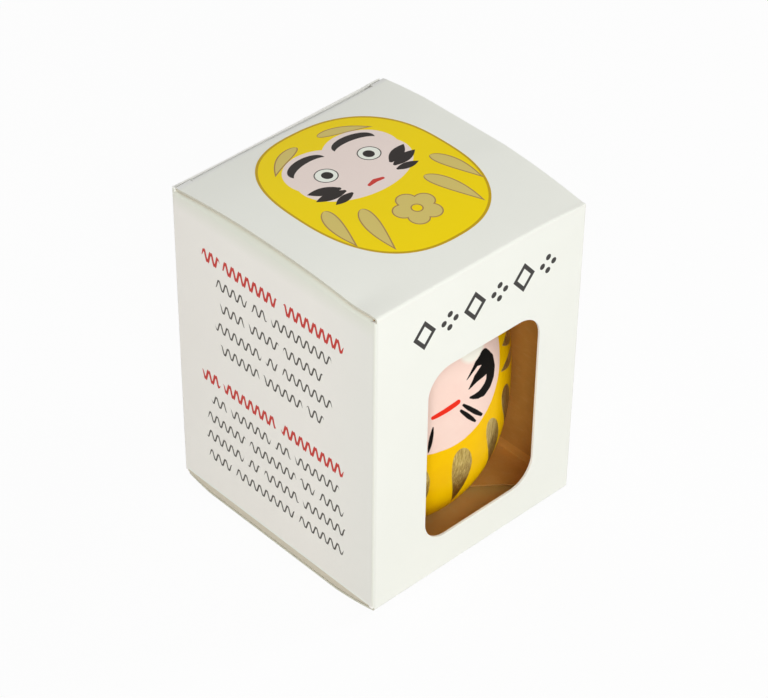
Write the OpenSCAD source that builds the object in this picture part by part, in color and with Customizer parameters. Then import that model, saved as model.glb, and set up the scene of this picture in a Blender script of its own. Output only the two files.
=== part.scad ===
// Daruma doll in its window carton.
// A hollow papier-mache doll with a clay weight in its base stands in a folding carton made of
// one creased board: four walls and a glue flap, and at each end a lid, a tuck flap and two dust
// flaps. Units are millimetres. The origin is the middle of the footprint on the surface the
// carton stands on, +Z is up and the window faces -Y. The carton is sized round the doll.

/* [Doll] */
// Widest width of the doll
doll_w = 56; // [44:0.5:72]
// Height of the doll from its underside to its crown
doll_h = 67.5; // [54:0.5:90]
// Width of the flat ring that the doll stands on
doll_base_w = 31; // [24:0.5:36]
// Squareness of the doll's side view, where 2 is an ellipse
doll_square = 2.3; // [2:0.05:2.8]
// Thickness of the papier-mache shell
shell_t = 2; // [1.2:0.1:3]
// Width of the hole in the underside that the clay weight fills
weight_w = 23; // [16:0.5:24]
// Height of the clay weight
weight_h = 8; // [4:0.5:14]

/* [Board] */
// Thickness of the carton board
board_t = 0.5; // [0.35:0.05:0.7]
// Inside radius of every crease
fold_r = 0.7; // [0.5:0.05:1.2]
// How far each lid bows outwards in its middle
lid_bow = 1.8; // [1:0.1:3]
// Width of the flat that the bottom lid rests on
rest_flat = 20; // [12:1:30]
// Width of the flat at the crown of the top lid
crown_flat = 4; // [2:0.5:20]

/* [Room inside the carton] */
// Room between the doll and each side wall
side_gap = 1.5; // [1:0.1:4]
// Room between the doll and the window wall
front_gap = 0.9; // [0.6:0.1:3]
// Room between the doll and the back wall
back_gap = 4.5; // [3.5:0.1:8]
// Room between the crown of the doll and the top dust flaps
headroom = 9.3; // [5:0.1:16]
// Running gap under the doll
floor_gap = 0.3; // [0.2:0.05:0.5]

/* [Window] */
// Width of the window
window_w = 33; // [20:0.5:38]
// Height of the window
window_h = 47; // [24:0.5:50]
// Height of the window's lower edge above the bottom crease
window_rise = 9.8; // [6:0.1:14]
// How far the window lies to the right of the middle
window_shift = 1.3; // [-2:0.1:2]
// Radius of the window's corners
window_r = 6; // [2:0.5:9]

/* [Flaps] */
// Length of the tuck flaps below their creases
tuck_len = 12; // [8:0.5:13]
// Inward lean of the tuck flaps, in degrees
tuck_lean = 9; // [9:0.5:12]
// Radius of the tuck flaps' free corners
tuck_r = 6; // [3:0.5:7]
// Room between each tuck flap and the back wall
tuck_gap = 0.3; // [0.3:0.05:0.6]
// Room between each end of a tuck flap and the walls
tuck_side_gap = 0.6; // [0.4:0.1:2]
// Length of the lid's shoulder beside each end of a tuck crease
shoulder_w = 4; // [3:0.25:8]
// Width of the slit between a shoulder and its tuck flap
slit_w = 0.2; // [0.2:0.05:0.5]
// How far below its crease each tuck flap widens to its full width
ear_drop = 2.5; // [2:0.25:3.5]
// How far each side edge of a lid lies inside the walls
lid_inset = 0.4; // [0.2:0.05:1]
// Room between a lid and the dust flaps under it
flap_gap = 0.2; // [0.2:0.05:0.4]
// Reach of the dust flaps in from the side walls
dust_len = 25; // [14:0.5:25.5]
// Slant of the dust flaps' front edges, in degrees
dust_slant = 38; // [36:0.5:42]
// Slant of the dust flaps' back edges, in degrees
dust_taper = 8; // [4:0.5:12]
// How far the dust flaps stop short of the tuck crease
dust_back_gap = 1; // [1:0.1:3]
// Width of the glue flap
glue_w = 11; // [7:0.5:14]
// How far the glue flap stops short of the dust flaps
glue_end_gap = 3; // [2:0.5:8]
// How far the right wall's cut edge stops short of the back face
seam_set = 0.6; // [0.3:0.1:1]
// How far the back wall stops short of the inner faces of the lids
back_drop = 0.4; // [0.4:0.05:0.8]

/* [Hidden] */

// Facets round the creases and the doll, and steps along a crease, a bow and the doll's profile
fold_fn = 64;
turn_fn = 144;
bend_steps = 8;
bow_steps = 14;
profile_steps = 40;

// Running fit of the clay weight in its shell
weight_fit = 0.1;
// Slant of the glue flap's ends, in degrees
glue_slant = 20;

// Colours
board_white = "#f4f2ec";
board_kraft = "#a9835a";
doll_yellow = "#f2c21a";
clay_grey = "#b9ab97";

// Footprint and creases
carton_w = doll_w + 2 * (side_gap + board_t);
carton_d = doll_w + front_gap + back_gap + 2 * board_t;
half_w = carton_w / 2;
half_d = carton_d / 2;
fold_out = fold_r + board_t;

// Levels from the table up: bottom lid, dust flaps, floor, doll, ceiling, dust flaps, top lid
crease_lo = lid_bow;
lid_in_lo = crease_lo + board_t;
flap_lo = lid_in_lo + flap_gap;
floor_z = flap_lo + board_t;
doll_z = floor_z + floor_gap;
ceiling_z = doll_z + doll_h + headroom;
flap_hi = ceiling_z + board_t;
lid_in_hi = flap_hi + flap_gap;
crease_hi = lid_in_hi + board_t;
mid_z = (crease_lo + crease_hi) / 2;

// Heights at which the lid bends and the dust flap bends start
lid_bend_hi = crease_hi - fold_out;
lid_bend_lo = crease_lo + fold_out;
flap_bend_hi = flap_hi - fold_out;
flap_bend_lo = flap_lo + fold_out;

// Centres of a lid's front crease and of its tuck crease, along Y
lid_front_y = -half_d + fold_out;
lid_back_y = half_d - board_t - tuck_gap - fold_out;
lid_mid_y = (lid_front_y + lid_back_y) / 2;
lid_half_w = half_w - lid_inset;
tuck_crease_half_w = lid_half_w - shoulder_w;
tuck_neck_half_w = tuck_crease_half_w - slit_w;
tuck_half_w = half_w - 2 * board_t - tuck_side_gap;

// The doll's side view is a superellipse cut off at the underside
doll_r = doll_w / 2;
base_share = pow(1 - pow(doll_base_w / doll_w, doll_square), 1 / doll_square);
doll_rise = doll_h / (1 + base_share);
waist_z = doll_rise * base_share;
doll_y = -half_d + board_t + front_gap + doll_r;

// Sagging or bowing board: radius of the arcs that join a lid's flat to its creases
function bow_run(flat) = (lid_back_y - lid_front_y - flat) / 2;
function bow_r(flat) = (pow(bow_run(flat), 2) + pow(lid_bow, 2)) / (2 * lid_bow);
function bow_angle(flat) = asin(bow_run(flat) / bow_r(flat));

// Points along an arc, in order from one polar angle to another, without its first point
function arc_points(c, r, from, to, steps) =
    [for (i = [1 : steps])
        let (a = from + (to - from) * i / steps)
        c + r * [cos(a), sin(a)]];

// One face of a lid in side view, at distance r from the line through its crease centres
function lid_line(flat, r) =
    let (front = [lid_front_y, lid_bend_hi],
         back = [lid_back_y, lid_bend_hi],
         turn = bow_angle(flat),
         arc_z = lid_bend_hi + lid_bow - bow_r(flat),
         reach = (half_d - lid_back_y - fold_out * sin(turn)) / cos(turn))
    concat([front - [r, 0]],
           arc_points(front, r, 180, 90 + turn, bend_steps),
           arc_points([lid_mid_y - flat / 2, arc_z], bow_r(flat) + r, 90 + turn, 90, bow_steps),
           [[lid_mid_y + flat / 2, arc_z + bow_r(flat) + r]],
           arc_points([lid_mid_y + flat / 2, arc_z], bow_r(flat) + r, 90, 90 - turn, bow_steps),
           [back + r * [sin(turn), cos(turn)] + reach * [cos(turn), -sin(turn)]]);

function reversed(points) = [for (i = [len(points) - 1 : -1 : 0]) points[i]];

// Radius of a superellipse of revolution at height z above the underside
function round_r(z, inset) =
    (doll_r - inset) * pow(max(0, 1 - pow(abs(z - waist_z) / (doll_rise - inset), doll_square)),
                           1 / doll_square);

// Side view of the doll set in by inset, from height z = 0 to the crown, as [radius, height]
function round_side(inset) =
    let (rise = doll_rise - inset,
         foot = -asin(min(1, pow(waist_z / rise, doll_square / 2))))
    [for (i = [0 : profile_steps])
        let (a = foot + (90 - foot) * i / profile_steps,
             s = sin(a))
        [(doll_r - inset) * pow(max(0, cos(a)), 2 / doll_square),
         max(0, waist_z + sign(s) * rise * pow(abs(s), 2 / doll_square))]];

// A strip of board bent round c, between two polar angles
module bend(c, from, to) {
    reach = 2 * fold_out;
    mid = (from + to) / 2;
    translate(c) intersection() {
        difference() {
            circle(r = fold_out, $fn = fold_fn);
            circle(r = fold_r, $fn = fold_fn);
        }
        polygon([[0, 0],
                 reach * [cos(from), sin(from)],
                 reach * [cos(mid), sin(mid)],
                 reach * [cos(to), sin(to)]]);
    }
}

// A straight strip with opposite corners at low and high
module strip(low, high) {
    translate(low) square(high - low);
}

// Stands a plan up between two heights
module upright(low, high) {
    translate([0, 0, low]) linear_extrude(height = high - low) children();
}

// Carries a side view, drawn in Y and Z, along X from one place to another
module along_x(from, to) {
    translate([from, 0, 0]) rotate([90, 0, 90]) linear_extrude(height = to - from) children();
}

// Turns what closes the top into what closes the bottom
module at_bottom() {
    translate([0, 0, 2 * mid_z]) mirror([0, 0, 1]) children();
}

module rounded_rect(low, high, r) {
    strip(low + [r, 0], high - [r, 0]);
    strip(low + [0, r], high - [0, r]);
    for (x = [low[0] + r, high[0] - r], y = [low[1] + r, high[1] - r])
        translate([x, y]) circle(r = r, $fn = fold_fn);
}

// Plans of the walls
module front_plan() {
    strip([-half_w + fold_out, -half_d], [half_w - fold_out, -half_d + board_t]);
    bend([-half_w + fold_out, -half_d + fold_out], 225, 270);
    bend([half_w - fold_out, -half_d + fold_out], 270, 315);
}

module left_plan() {
    strip([-half_w, -half_d + fold_out], [-half_w + board_t, half_d - fold_out]);
    bend([-half_w + fold_out, -half_d + fold_out], 180, 225);
    bend([-half_w + fold_out, half_d - fold_out], 135, 180);
}

module right_plan() {
    strip([half_w - board_t, -half_d + fold_out], [half_w, half_d - seam_set]);
    bend([half_w - fold_out, -half_d + fold_out], -45, 0);
}

module back_plan() {
    strip([-half_w + fold_out, half_d - board_t], [half_w - board_t - fold_out, half_d]);
    bend([-half_w + fold_out, half_d - fold_out], 90, 135);
    bend([half_w - board_t - fold_out, half_d - fold_out], 45, 90);
}

module glue_plan() {
    strip([half_w - 2 * board_t, half_d - fold_out - glue_w],
          [half_w - board_t, half_d - fold_out]);
    bend([half_w - board_t - fold_out, half_d - fold_out], 0, 45);
}

// Window cut, through the front wall
module window_cut() {
    translate([0, -half_d + 3 * board_t, 0]) rotate([90, 0, 0]) linear_extrude(height = 4 * board_t)
        rounded_rect([window_shift - window_w / 2, crease_lo + window_rise],
                     [window_shift + window_w / 2, crease_lo + window_rise + window_h],
                     window_r);
}

// Side view of a lid from its front crease, bowed round a flat, and on past the tuck crease
module lid_side(flat) {
    polygon(concat(lid_line(flat, fold_out), reversed(lid_line(flat, fold_r))));
}

// Lid: the middle of its back edge is cut away at the tuck crease, which leaves two shoulders
module lid(flat) {
    difference() {
        along_x(-lid_half_w, lid_half_w) lid_side(flat);
        along_x(-tuck_crease_half_w - slit_w, tuck_crease_half_w + slit_w)
            translate([lid_back_y, lid_bend_hi]) rotate(-bow_angle(flat))
                strip([0, 0], [carton_d, 2 * fold_out]);
    }
}

// Tuck flap: the crease at the back of a lid, then a plate that leans in
module tuck_flap(flat) {
    along_x(-tuck_crease_half_w, tuck_crease_half_w)
        bend([lid_back_y, lid_bend_hi], -tuck_lean, 90 - bow_angle(flat));
    translate([0, lid_back_y, lid_bend_hi]) rotate([90 - tuck_lean, 0, 0])
        translate([0, 0, -fold_out]) linear_extrude(height = board_t) tuck_plan();
}

module tuck_plan() {
    strip([-tuck_neck_half_w, -ear_drop], [tuck_neck_half_w, 0]);
    strip([-tuck_half_w, -tuck_len + tuck_r], [tuck_half_w, -ear_drop]);
    strip([-tuck_half_w + tuck_r, -tuck_len], [tuck_half_w - tuck_r, 0]);
    for (side = [-1, 1])
        translate([side * (tuck_half_w - tuck_r), -tuck_len + tuck_r])
            circle(r = tuck_r, $fn = fold_fn);
}

// Dust flap on the left wall: its crease, then a level plate with slanted edges
module dust_flap() {
    front_y = lid_front_y;
    back_y = lid_back_y - dust_back_gap;
    intersection() {
        translate([-half_w, half_d, 0]) rotate([90, 0, 0]) linear_extrude(height = carton_d) {
            bend([fold_out, flap_bend_hi], 90, 180);
            strip([fold_out, ceiling_z], [dust_len, flap_hi]);
        }
        translate([-half_w, 0, 0]) upright(flap_bend_hi - 1, flap_hi + 1)
            polygon([[-1, front_y],
                     [fold_out, front_y],
                     [dust_len + 1, front_y + (dust_len + 1 - fold_out) * tan(dust_slant)],
                     [dust_len + 1, back_y - (dust_len + 1 - fold_out) * tan(dust_taper)],
                     [fold_out, back_y],
                     [-1, back_y]]);
    }
}

module front_panel() {
    color(board_white) difference() {
        upright(lid_bend_lo, lid_bend_hi) front_plan();
        window_cut();
    }
}

module back_panel() {
    color(board_white) upright(lid_in_lo + back_drop, lid_in_hi - back_drop) back_plan();
}

module left_panel() {
    color(board_white) upright(flap_bend_lo, flap_bend_hi) left_plan();
}

module right_panel() {
    color(board_white) upright(flap_bend_lo, flap_bend_hi) right_plan();
}

// Glue flap: hinged on the back wall and glued inside the right wall, with chamfered ends
module glue_flap() {
    low = floor_z + glue_end_gap;
    high = ceiling_z - glue_end_gap;
    far_y = half_d - fold_out - glue_w;
    drop = (glue_w + fold_out) * tan(glue_slant);
    color(board_kraft) intersection() {
        upright(low, high) glue_plan();
        along_x(0, half_w) polygon([[far_y, low + drop], [half_d, low],
                                    [half_d, high], [far_y, high - drop]]);
    }
}

module top_lid() {
    color(board_white) lid(crown_flat);
}

module top_tuck_flap() {
    color(board_white) tuck_flap(crown_flat);
}

module top_dust_flap_left() {
    color(board_white) dust_flap();
}

module top_dust_flap_right() {
    color(board_white) mirror([1, 0, 0]) dust_flap();
}

module bottom_lid() {
    color(board_white) at_bottom() lid(rest_flat);
}

module bottom_tuck_flap() {
    color(board_white) at_bottom() tuck_flap(rest_flat);
}

module bottom_dust_flap_left() {
    color(board_white) at_bottom() dust_flap();
}

module bottom_dust_flap_right() {
    color(board_white) at_bottom() mirror([1, 0, 0]) dust_flap();
}

// Hollow shell, open underneath where the weight is set in
module doll_shell() {
    side = round_side(0);
    hollow = round_side(shell_t);
    color(doll_yellow) translate([0, doll_y, doll_z]) difference() {
        rotate_extrude($fn = turn_fn) polygon(concat([[0, 0]], side));
        rotate_extrude($fn = turn_fn) polygon(concat([[0, 0]], hollow));
        translate([0, 0, -1]) cylinder(h = weight_h + 1, d = weight_w, $fn = turn_fn);
    }
}

// Clay weight that fills the bottom of the hollow, flush with the underside
module doll_base_weight() {
    steps = 8;
    side = [for (i = [0 : steps])
        let (z = weight_h * i / steps)
        [max(weight_w / 2, round_r(z, shell_t)) - weight_fit, z]];
    color(clay_grey) translate([0, doll_y, doll_z])
        rotate_extrude($fn = turn_fn) polygon(concat([[0, 0]], side, [[0, weight_h]]));
}

front_panel();
back_panel();
left_panel();
right_panel();
glue_flap();
top_lid();
top_tuck_flap();
top_dust_flap_left();
top_dust_flap_right();
bottom_lid();
bottom_tuck_flap();
bottom_dust_flap_left();
bottom_dust_flap_right();
doll_shell();
doll_base_weight();
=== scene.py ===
"""Looks of a hand-painted wishing doll standing in its folding window carton.

The carton is one creased board, white and coated outside and brown inside. Its walls, lids and
flaps are surfaces worked out here as paths carried along an axis, and the doll is a profile
turned about its axis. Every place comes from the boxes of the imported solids. Shapes are worked
out in millimetres and stored in metres.
"""

import logging
import math
from abc import ABC, abstractmethod
from dataclasses import dataclass, field
from enum import Enum, IntEnum
from typing import Callable, ClassVar, Dict, List, Optional, Protocol, Sequence, Tuple, Union

import bpy
import numpy as np
from mathutils import Matrix, Vector


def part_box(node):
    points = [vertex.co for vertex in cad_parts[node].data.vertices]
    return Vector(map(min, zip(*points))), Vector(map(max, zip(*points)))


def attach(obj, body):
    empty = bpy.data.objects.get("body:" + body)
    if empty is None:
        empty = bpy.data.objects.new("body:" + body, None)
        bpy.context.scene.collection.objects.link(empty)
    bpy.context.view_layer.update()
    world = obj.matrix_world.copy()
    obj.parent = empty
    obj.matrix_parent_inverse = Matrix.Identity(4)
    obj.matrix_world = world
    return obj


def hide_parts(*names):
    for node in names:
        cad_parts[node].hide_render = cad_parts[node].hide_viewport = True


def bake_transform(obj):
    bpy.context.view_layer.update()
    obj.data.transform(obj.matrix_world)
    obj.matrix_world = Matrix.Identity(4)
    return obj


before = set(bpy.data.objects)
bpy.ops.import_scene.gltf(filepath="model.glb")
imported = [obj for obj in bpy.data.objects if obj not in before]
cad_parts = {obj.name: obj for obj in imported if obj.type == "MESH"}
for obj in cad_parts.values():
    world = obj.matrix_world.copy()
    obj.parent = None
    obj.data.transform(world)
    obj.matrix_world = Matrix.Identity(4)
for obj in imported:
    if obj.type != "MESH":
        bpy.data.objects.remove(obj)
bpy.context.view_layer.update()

MM = 0.001
log = logging.getLogger("wishing_doll")

Array = np.ndarray
Point = Tuple[float, float]
Point3 = Tuple[float, float, float]
Colour = Tuple[float, float, float]
Sags = Tuple[float, float, float, float]
Value = Union["Wire", float, Tuple[float, ...]]

EVEN: Point3 = (1.0, 1.0, 1.0)


def srgb(red: float, green: float, blue: float) -> Colour:
    """Linear colour of an 8-bit sRGB colour: each channel to the power of the sRGB curve.

    Args:
        red: Red, from 0 to 255.
        green: Green, from 0 to 255.
        blue: Blue, from 0 to 255.

    Returns:
        The three channels, from 0 to 1.
    """
    shares = np.array([red, green, blue]) / 255.0
    linear = np.where(shares <= 0.04045, shares / 12.92, ((shares + 0.055) / 1.055) ** 2.4)
    return tuple(float(v) for v in linear)


def box_mm(node: str) -> Tuple[Array, Array]:
    """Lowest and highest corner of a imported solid, in millimetres."""
    low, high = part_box(node)
    return np.array(low) / MM, np.array(high) / MM


def linked(name: str, data: bpy.types.ID) -> bpy.types.Object:
    """An object of that name that carries the data, linked into the scene.

    Args:
        name: Name of the object.
        data: Its mesh, lamp or camera.

    Returns:
        The object.
    """
    thing = bpy.data.objects.new(name, data)
    bpy.context.scene.collection.objects.link(thing)
    return thing


def towards(azimuth: float, elevation: float) -> Vector:
    """The way at an angle from -Y towards +X and at an angle above the floor, in degrees."""
    a, e = math.radians(azimuth), math.radians(elevation)
    return Vector((math.sin(a) * math.cos(e), -math.cos(a) * math.cos(e), math.sin(e)))


def eased(share: Array) -> Array:
    """3 s^2 - 2 s^3, with the share s held between 0 and 1."""
    share = np.clip(share, 0.0, 1.0)
    return share**2 * (3.0 - 2.0 * share)


# ---- Shapes ----


class Axis(IntEnum):
    """An axis of space; the value is its column in an array of places."""

    X = 0
    Y = 1
    Z = 2


@dataclass(frozen=True)
class Path:
    """The outer face of a sheet in side view or plan.

    points and normals are (n, 2) arrays, in millimetres, in order along the path.
    """

    points: Array
    normals: Array

    @classmethod
    def arc(cls, centre: Point, radius: float, start: float, end: float, steps: int) -> "Path":
        """centre + radius (cos a, sin a), with the angle a in equal steps from start to end.

        Args:
            centre: Middle of the arc.
            radius: Its radius.
            start: First angle, in degrees.
            end: Last angle, in degrees.
            steps: Number of steps between them.

        Returns:
            The path, with normals that point away from the centre.
        """
        angles = np.radians(np.linspace(start, end, steps + 1))
        normals = np.stack([np.cos(angles), np.sin(angles)], axis=-1)
        return cls(np.asarray(centre) + radius * normals, normals)

    @classmethod
    def line(cls, start: Point, end: Point, normal: Point, steps: int) -> "Path":
        """start + t (end - start), with t in equal steps from 0 to 1, all with one normal.

        Args:
            start: First point.
            end: Last point.
            normal: Which way the face looks.
            steps: Number of steps between the two points.

        Returns:
            The straight path.
        """
        shares = np.linspace(0.0, 1.0, steps + 1)[:, None]
        points = np.asarray(start) * (1.0 - shares) + np.asarray(end) * shares
        return cls(points, np.broadcast_to(np.asarray(normal, float), points.shape))

    def then(self, *others: "Path") -> "Path":
        """This path and then the others, each of which starts where the one before it ends.

        Args:
            others: The paths that follow.

        Returns:
            The whole path, without its doubled points.
        """
        points = [self.points] + [other.points[1:] for other in others]
        normals = [self.normals] + [other.normals[1:] for other in others]
        return Path(np.vstack(points), np.vstack(normals))

    def end(self) -> Tuple[Array, Array, Array]:
        """The last point, its normal and the way ahead, square to the normal."""
        normal = self.normals[-1]
        return self.points[-1], normal, ahead_of(normal)


def ahead_of(normal: Array) -> Array:
    """The way along a path at a place with that normal."""
    return np.array([normal[1], -normal[0]])


@dataclass(frozen=True)
class Patch:
    """The outer face of a sheet in space: points and normals (n, 3) and quads (k, 4)."""

    points: Array
    normals: Array
    quads: Array

    @classmethod
    def grid(cls, points: Array, normals: Array, keep: Optional[Array] = None) -> "Patch":
        """A patch from a grid of points, with the cells that keep marks.

        Args:
            points: Grid of places, (m, n, 3).
            normals: Unit normals at those places, (m, n, 3).
            keep: Which of the (m - 1, n - 1) cells are board, or None for all of them.

        Returns:
            The patch, with one quad for each kept cell.
        """
        rows, columns = points.shape[:2]
        index = np.arange(rows * columns).reshape(rows, columns)
        quads = np.stack(
            [index[:-1, :-1], index[1:, :-1], index[1:, 1:], index[:-1, 1:]], axis=-1
        )
        kept = quads.reshape(-1, 4) if keep is None else quads[keep]
        return cls(points.reshape(-1, 3), normals.reshape(-1, 3), kept)

    @classmethod
    def bent(cls, points: Array, way: Point3) -> "Patch":
        """A patch from a grid of points, with normals square to both its lines, facing way.

        Args:
            points: Grid of places, (m, n, 3).
            way: A way that the normals look, on the whole.

        Returns:
            The patch, with all its cells.
        """
        along, across = (np.gradient(points, axis=i, edge_order=2) for i in (0, 1))
        normals = np.cross(along, across)
        normals /= np.linalg.norm(normals, axis=-1, keepdims=True)
        return cls.grid(points, normals if (normals @ np.array(way)).sum() > 0 else -normals)

    def __add__(self, other: "Patch") -> "Patch":
        """Both patches, welded where their points meet to within a thousandth of a millimetre.

        Args:
            other: The patch to join on.

        Returns:
            One patch.
        """
        points = np.vstack([self.points, other.points])
        normals = np.vstack([self.normals, other.normals])
        quads = np.vstack([self.quads, other.quads + len(self.points)])
        _, first, inverse = np.unique(
            np.round(points, 3), axis=0, return_index=True, return_inverse=True
        )
        return Patch(points[first], normals[first], inverse.reshape(-1)[quads])

    def mirrored(self, axis: Axis, about: float) -> "Patch":
        """The patch reflected in the plane where the axis equals about.

        Args:
            axis: The axis to reverse.
            about: Where on that axis the plane stands.

        Returns:
            The reflected patch, with its quads turned back.
        """
        points, normals = self.points.copy(), self.normals.copy()
        points[:, axis] = 2.0 * about - points[:, axis]
        normals[:, axis] *= -1.0
        return Patch(points, normals, self.quads[:, ::-1])

    def facing_out(self) -> "Patch":
        """The patch with its quads turned so that they wind about their normals.

        Returns:
            The patch, or one with every quad reversed.
        """
        a, b, d = (self.points[self.quads[:, i]] for i in (0, 1, 3))
        facing = np.einsum("ij,ij->", np.cross(b - a, d - a), self.normals[self.quads[:, 0]])
        return self if facing > 0 else Patch(self.points, self.normals, self.quads[:, ::-1])


class Side(Enum):
    """Which side of the board a face is on; the value is its material's place in the slots."""

    OUTSIDE = 0
    INSIDE = 1
    CUT = 2


def lay(path: Path, axes: Tuple[Axis, Axis, Axis], across: Array) -> Tuple[Array, Array]:
    """Carries a path along a third axis.

    The point at (i, j) has the path's point i on the first two axes and across[i, j] on the
    third. A row of places for the third axis serves every point of the path.

    Args:
        path: The path to carry.
        axes: Axes of the path's two coordinates and of the way it is carried.
        across: Places along the third axis, (m,) or (n, m).

    Returns:
        Grids of points and of normals, (n, m, 3).
    """
    across = np.broadcast_to(across, (len(path.points), np.shape(across)[-1]))
    points = np.zeros(across.shape + (3,))
    normals = np.zeros(across.shape + (3,))
    for column, axis in enumerate(axes[:2]):
        points[..., axis] = path.points[:, column, None]
        normals[..., axis] = path.normals[:, column, None]
    points[..., axes[2]] = across
    return points, normals


def steps_through(marks: Sequence[float], pitch: float) -> Array:
    """Places through all the marks in order, with steps no longer than pitch between them.

    Args:
        marks: Places that must be there, in rising order.
        pitch: Longest step.

    Returns:
        The places, each mark among them.
    """
    pieces = [
        np.linspace(a, b, max(1, math.ceil((b - a) / pitch)) + 1)[:-1]
        for a, b in zip(marks[:-1], marks[1:])
    ]
    return np.concatenate(pieces + [np.array([marks[-1]])])


def store(
    name: str, points: Array, faces: List[Array], groups: List[int], finishes: Sequence["Finish"]
) -> bpy.types.Object:
    """Puts a closed shape into a mesh object with its faces outwards and its edges sharp.

    Args:
        name: Name of the piece.
        points: Its points, (n, 3), in millimetres.
        faces: Arrays of quads or triangles, one array for each group.
        groups: The material slot of each array.
        finishes: What each slot wears.

    Returns:
        The object, with its place in its mesh.
    """
    used, inverse = np.unique(np.concatenate([f.ravel() for f in faces]), return_inverse=True)
    sizes = np.concatenate([np.full(len(f), f.shape[1]) for f in faces])
    slots = np.concatenate([np.full(len(f), g) for f, g in zip(faces, groups)])
    corners = inverse.reshape(-1)
    points = points[used] * MM
    starts = np.concatenate([[0], np.cumsum(sizes)[:-1]])
    a, b, c = (points[corners[starts + i]] for i in range(3))
    d = points[corners[starts + sizes - 1]]
    volume = np.einsum("ij,ij->", a, np.cross(b, c)) + np.einsum(
        "ij,ij->", a, np.where(sizes[:, None] == 4, np.cross(c, d), 0.0)
    )
    if volume < 0:
        first, count = np.repeat(starts, sizes), np.repeat(sizes, sizes)
        corners = corners[2 * first + count - 1 - np.arange(len(corners))]
    mesh = bpy.data.meshes.new(name)
    mesh.vertices.add(len(points))
    mesh.vertices.foreach_set("co", points.ravel())
    mesh.loops.add(len(corners))
    mesh.loops.foreach_set("vertex_index", corners.astype(np.int32))
    mesh.polygons.add(len(sizes))
    mesh.polygons.foreach_set("loop_start", starts.astype(np.int32))
    mesh.polygons.foreach_set("loop_total", sizes.astype(np.int32))
    mesh.polygons.foreach_set("material_index", slots.astype(np.int32))
    mesh.polygons.foreach_set("use_smooth", np.ones(len(sizes), bool))
    mesh.update(calc_edges=True)
    mark_sharp(mesh, np.repeat(slots, sizes))
    for finish in finishes:
        mesh.materials.append(finish.material())
    mesh.validate()
    return linked(name, mesh)


def mark_sharp(mesh: bpy.types.Mesh, corner_groups: Array) -> None:
    """Makes sharp each edge that lies between faces of two groups.

    Args:
        mesh: The mesh, with its edges worked out.
        corner_groups: The group of each face corner's face.
    """
    edges = np.empty(len(mesh.loops), np.int32)
    mesh.loops.foreach_get("edge_index", edges)
    lowest = np.full(len(mesh.edges), corner_groups.max())
    highest = np.full(len(mesh.edges), corner_groups.min())
    np.minimum.at(lowest, edges, corner_groups)
    np.maximum.at(highest, edges, corner_groups)
    sharp = mesh.attributes.new("sharp_edge", "BOOLEAN", "EDGE")
    sharp.data.foreach_set("value", lowest != highest)


def sheet(
    name: str, patch: Patch, thickness: float, finishes: Sequence["Finish"]
) -> bpy.types.Object:
    """Gives a patch its thickness.

    The inner face is each point less thickness times its normal. The rim joins the two faces
    along every edge that only one quad uses.

    Args:
        name: Name of the piece.
        patch: Its outer face.
        thickness: Thickness of the board, in millimetres.
        finishes: What the outside, the inside and the cut edge wear.

    Returns:
        The closed sheet as an object.
    """
    patch = patch.facing_out()
    count = len(patch.points)
    tails = patch.quads.ravel()
    heads = np.roll(patch.quads, -1, axis=1).ravel()
    lone = ~np.isin(tails * count + heads, heads * count + tails)
    tails, heads = tails[lone], heads[lone]
    rim = np.stack([heads, tails, tails + count, heads + count], axis=-1)
    points = np.vstack([patch.points, patch.points - thickness * patch.normals])
    return store(
        name,
        points,
        [patch.quads, patch.quads[:, ::-1] + count, rim],
        [Side.OUTSIDE.value, Side.INSIDE.value, Side.CUT.value],
        finishes,
    )


def hand_waves(angles: Array, heights: Array) -> Array:
    """Slow waves round and up a hand-moulded body.

    The sum of size sin(n a + k z + phase) over three waves, and of one more that winds up the
    body as sin(k z + b sin a).

    Args:
        angles: Angles a round the axis, in radians.
        heights: Heights z along the axis, in millimetres.

    Returns:
        The sum at each height and angle.
    """
    waves = ((1.0, 2.0, 0.05, 0.6), (0.6, 3.0, -0.08, -1.1), (0.35, 7.0, 0.21, 0.0))
    total = 0.5 * np.sin(0.35 * heights + 1.5 * np.sin(angles))
    for size, count, pace, phase in waves:
        total = total + size * np.sin(count * angles + pace * heights + phase)
    return total


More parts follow.
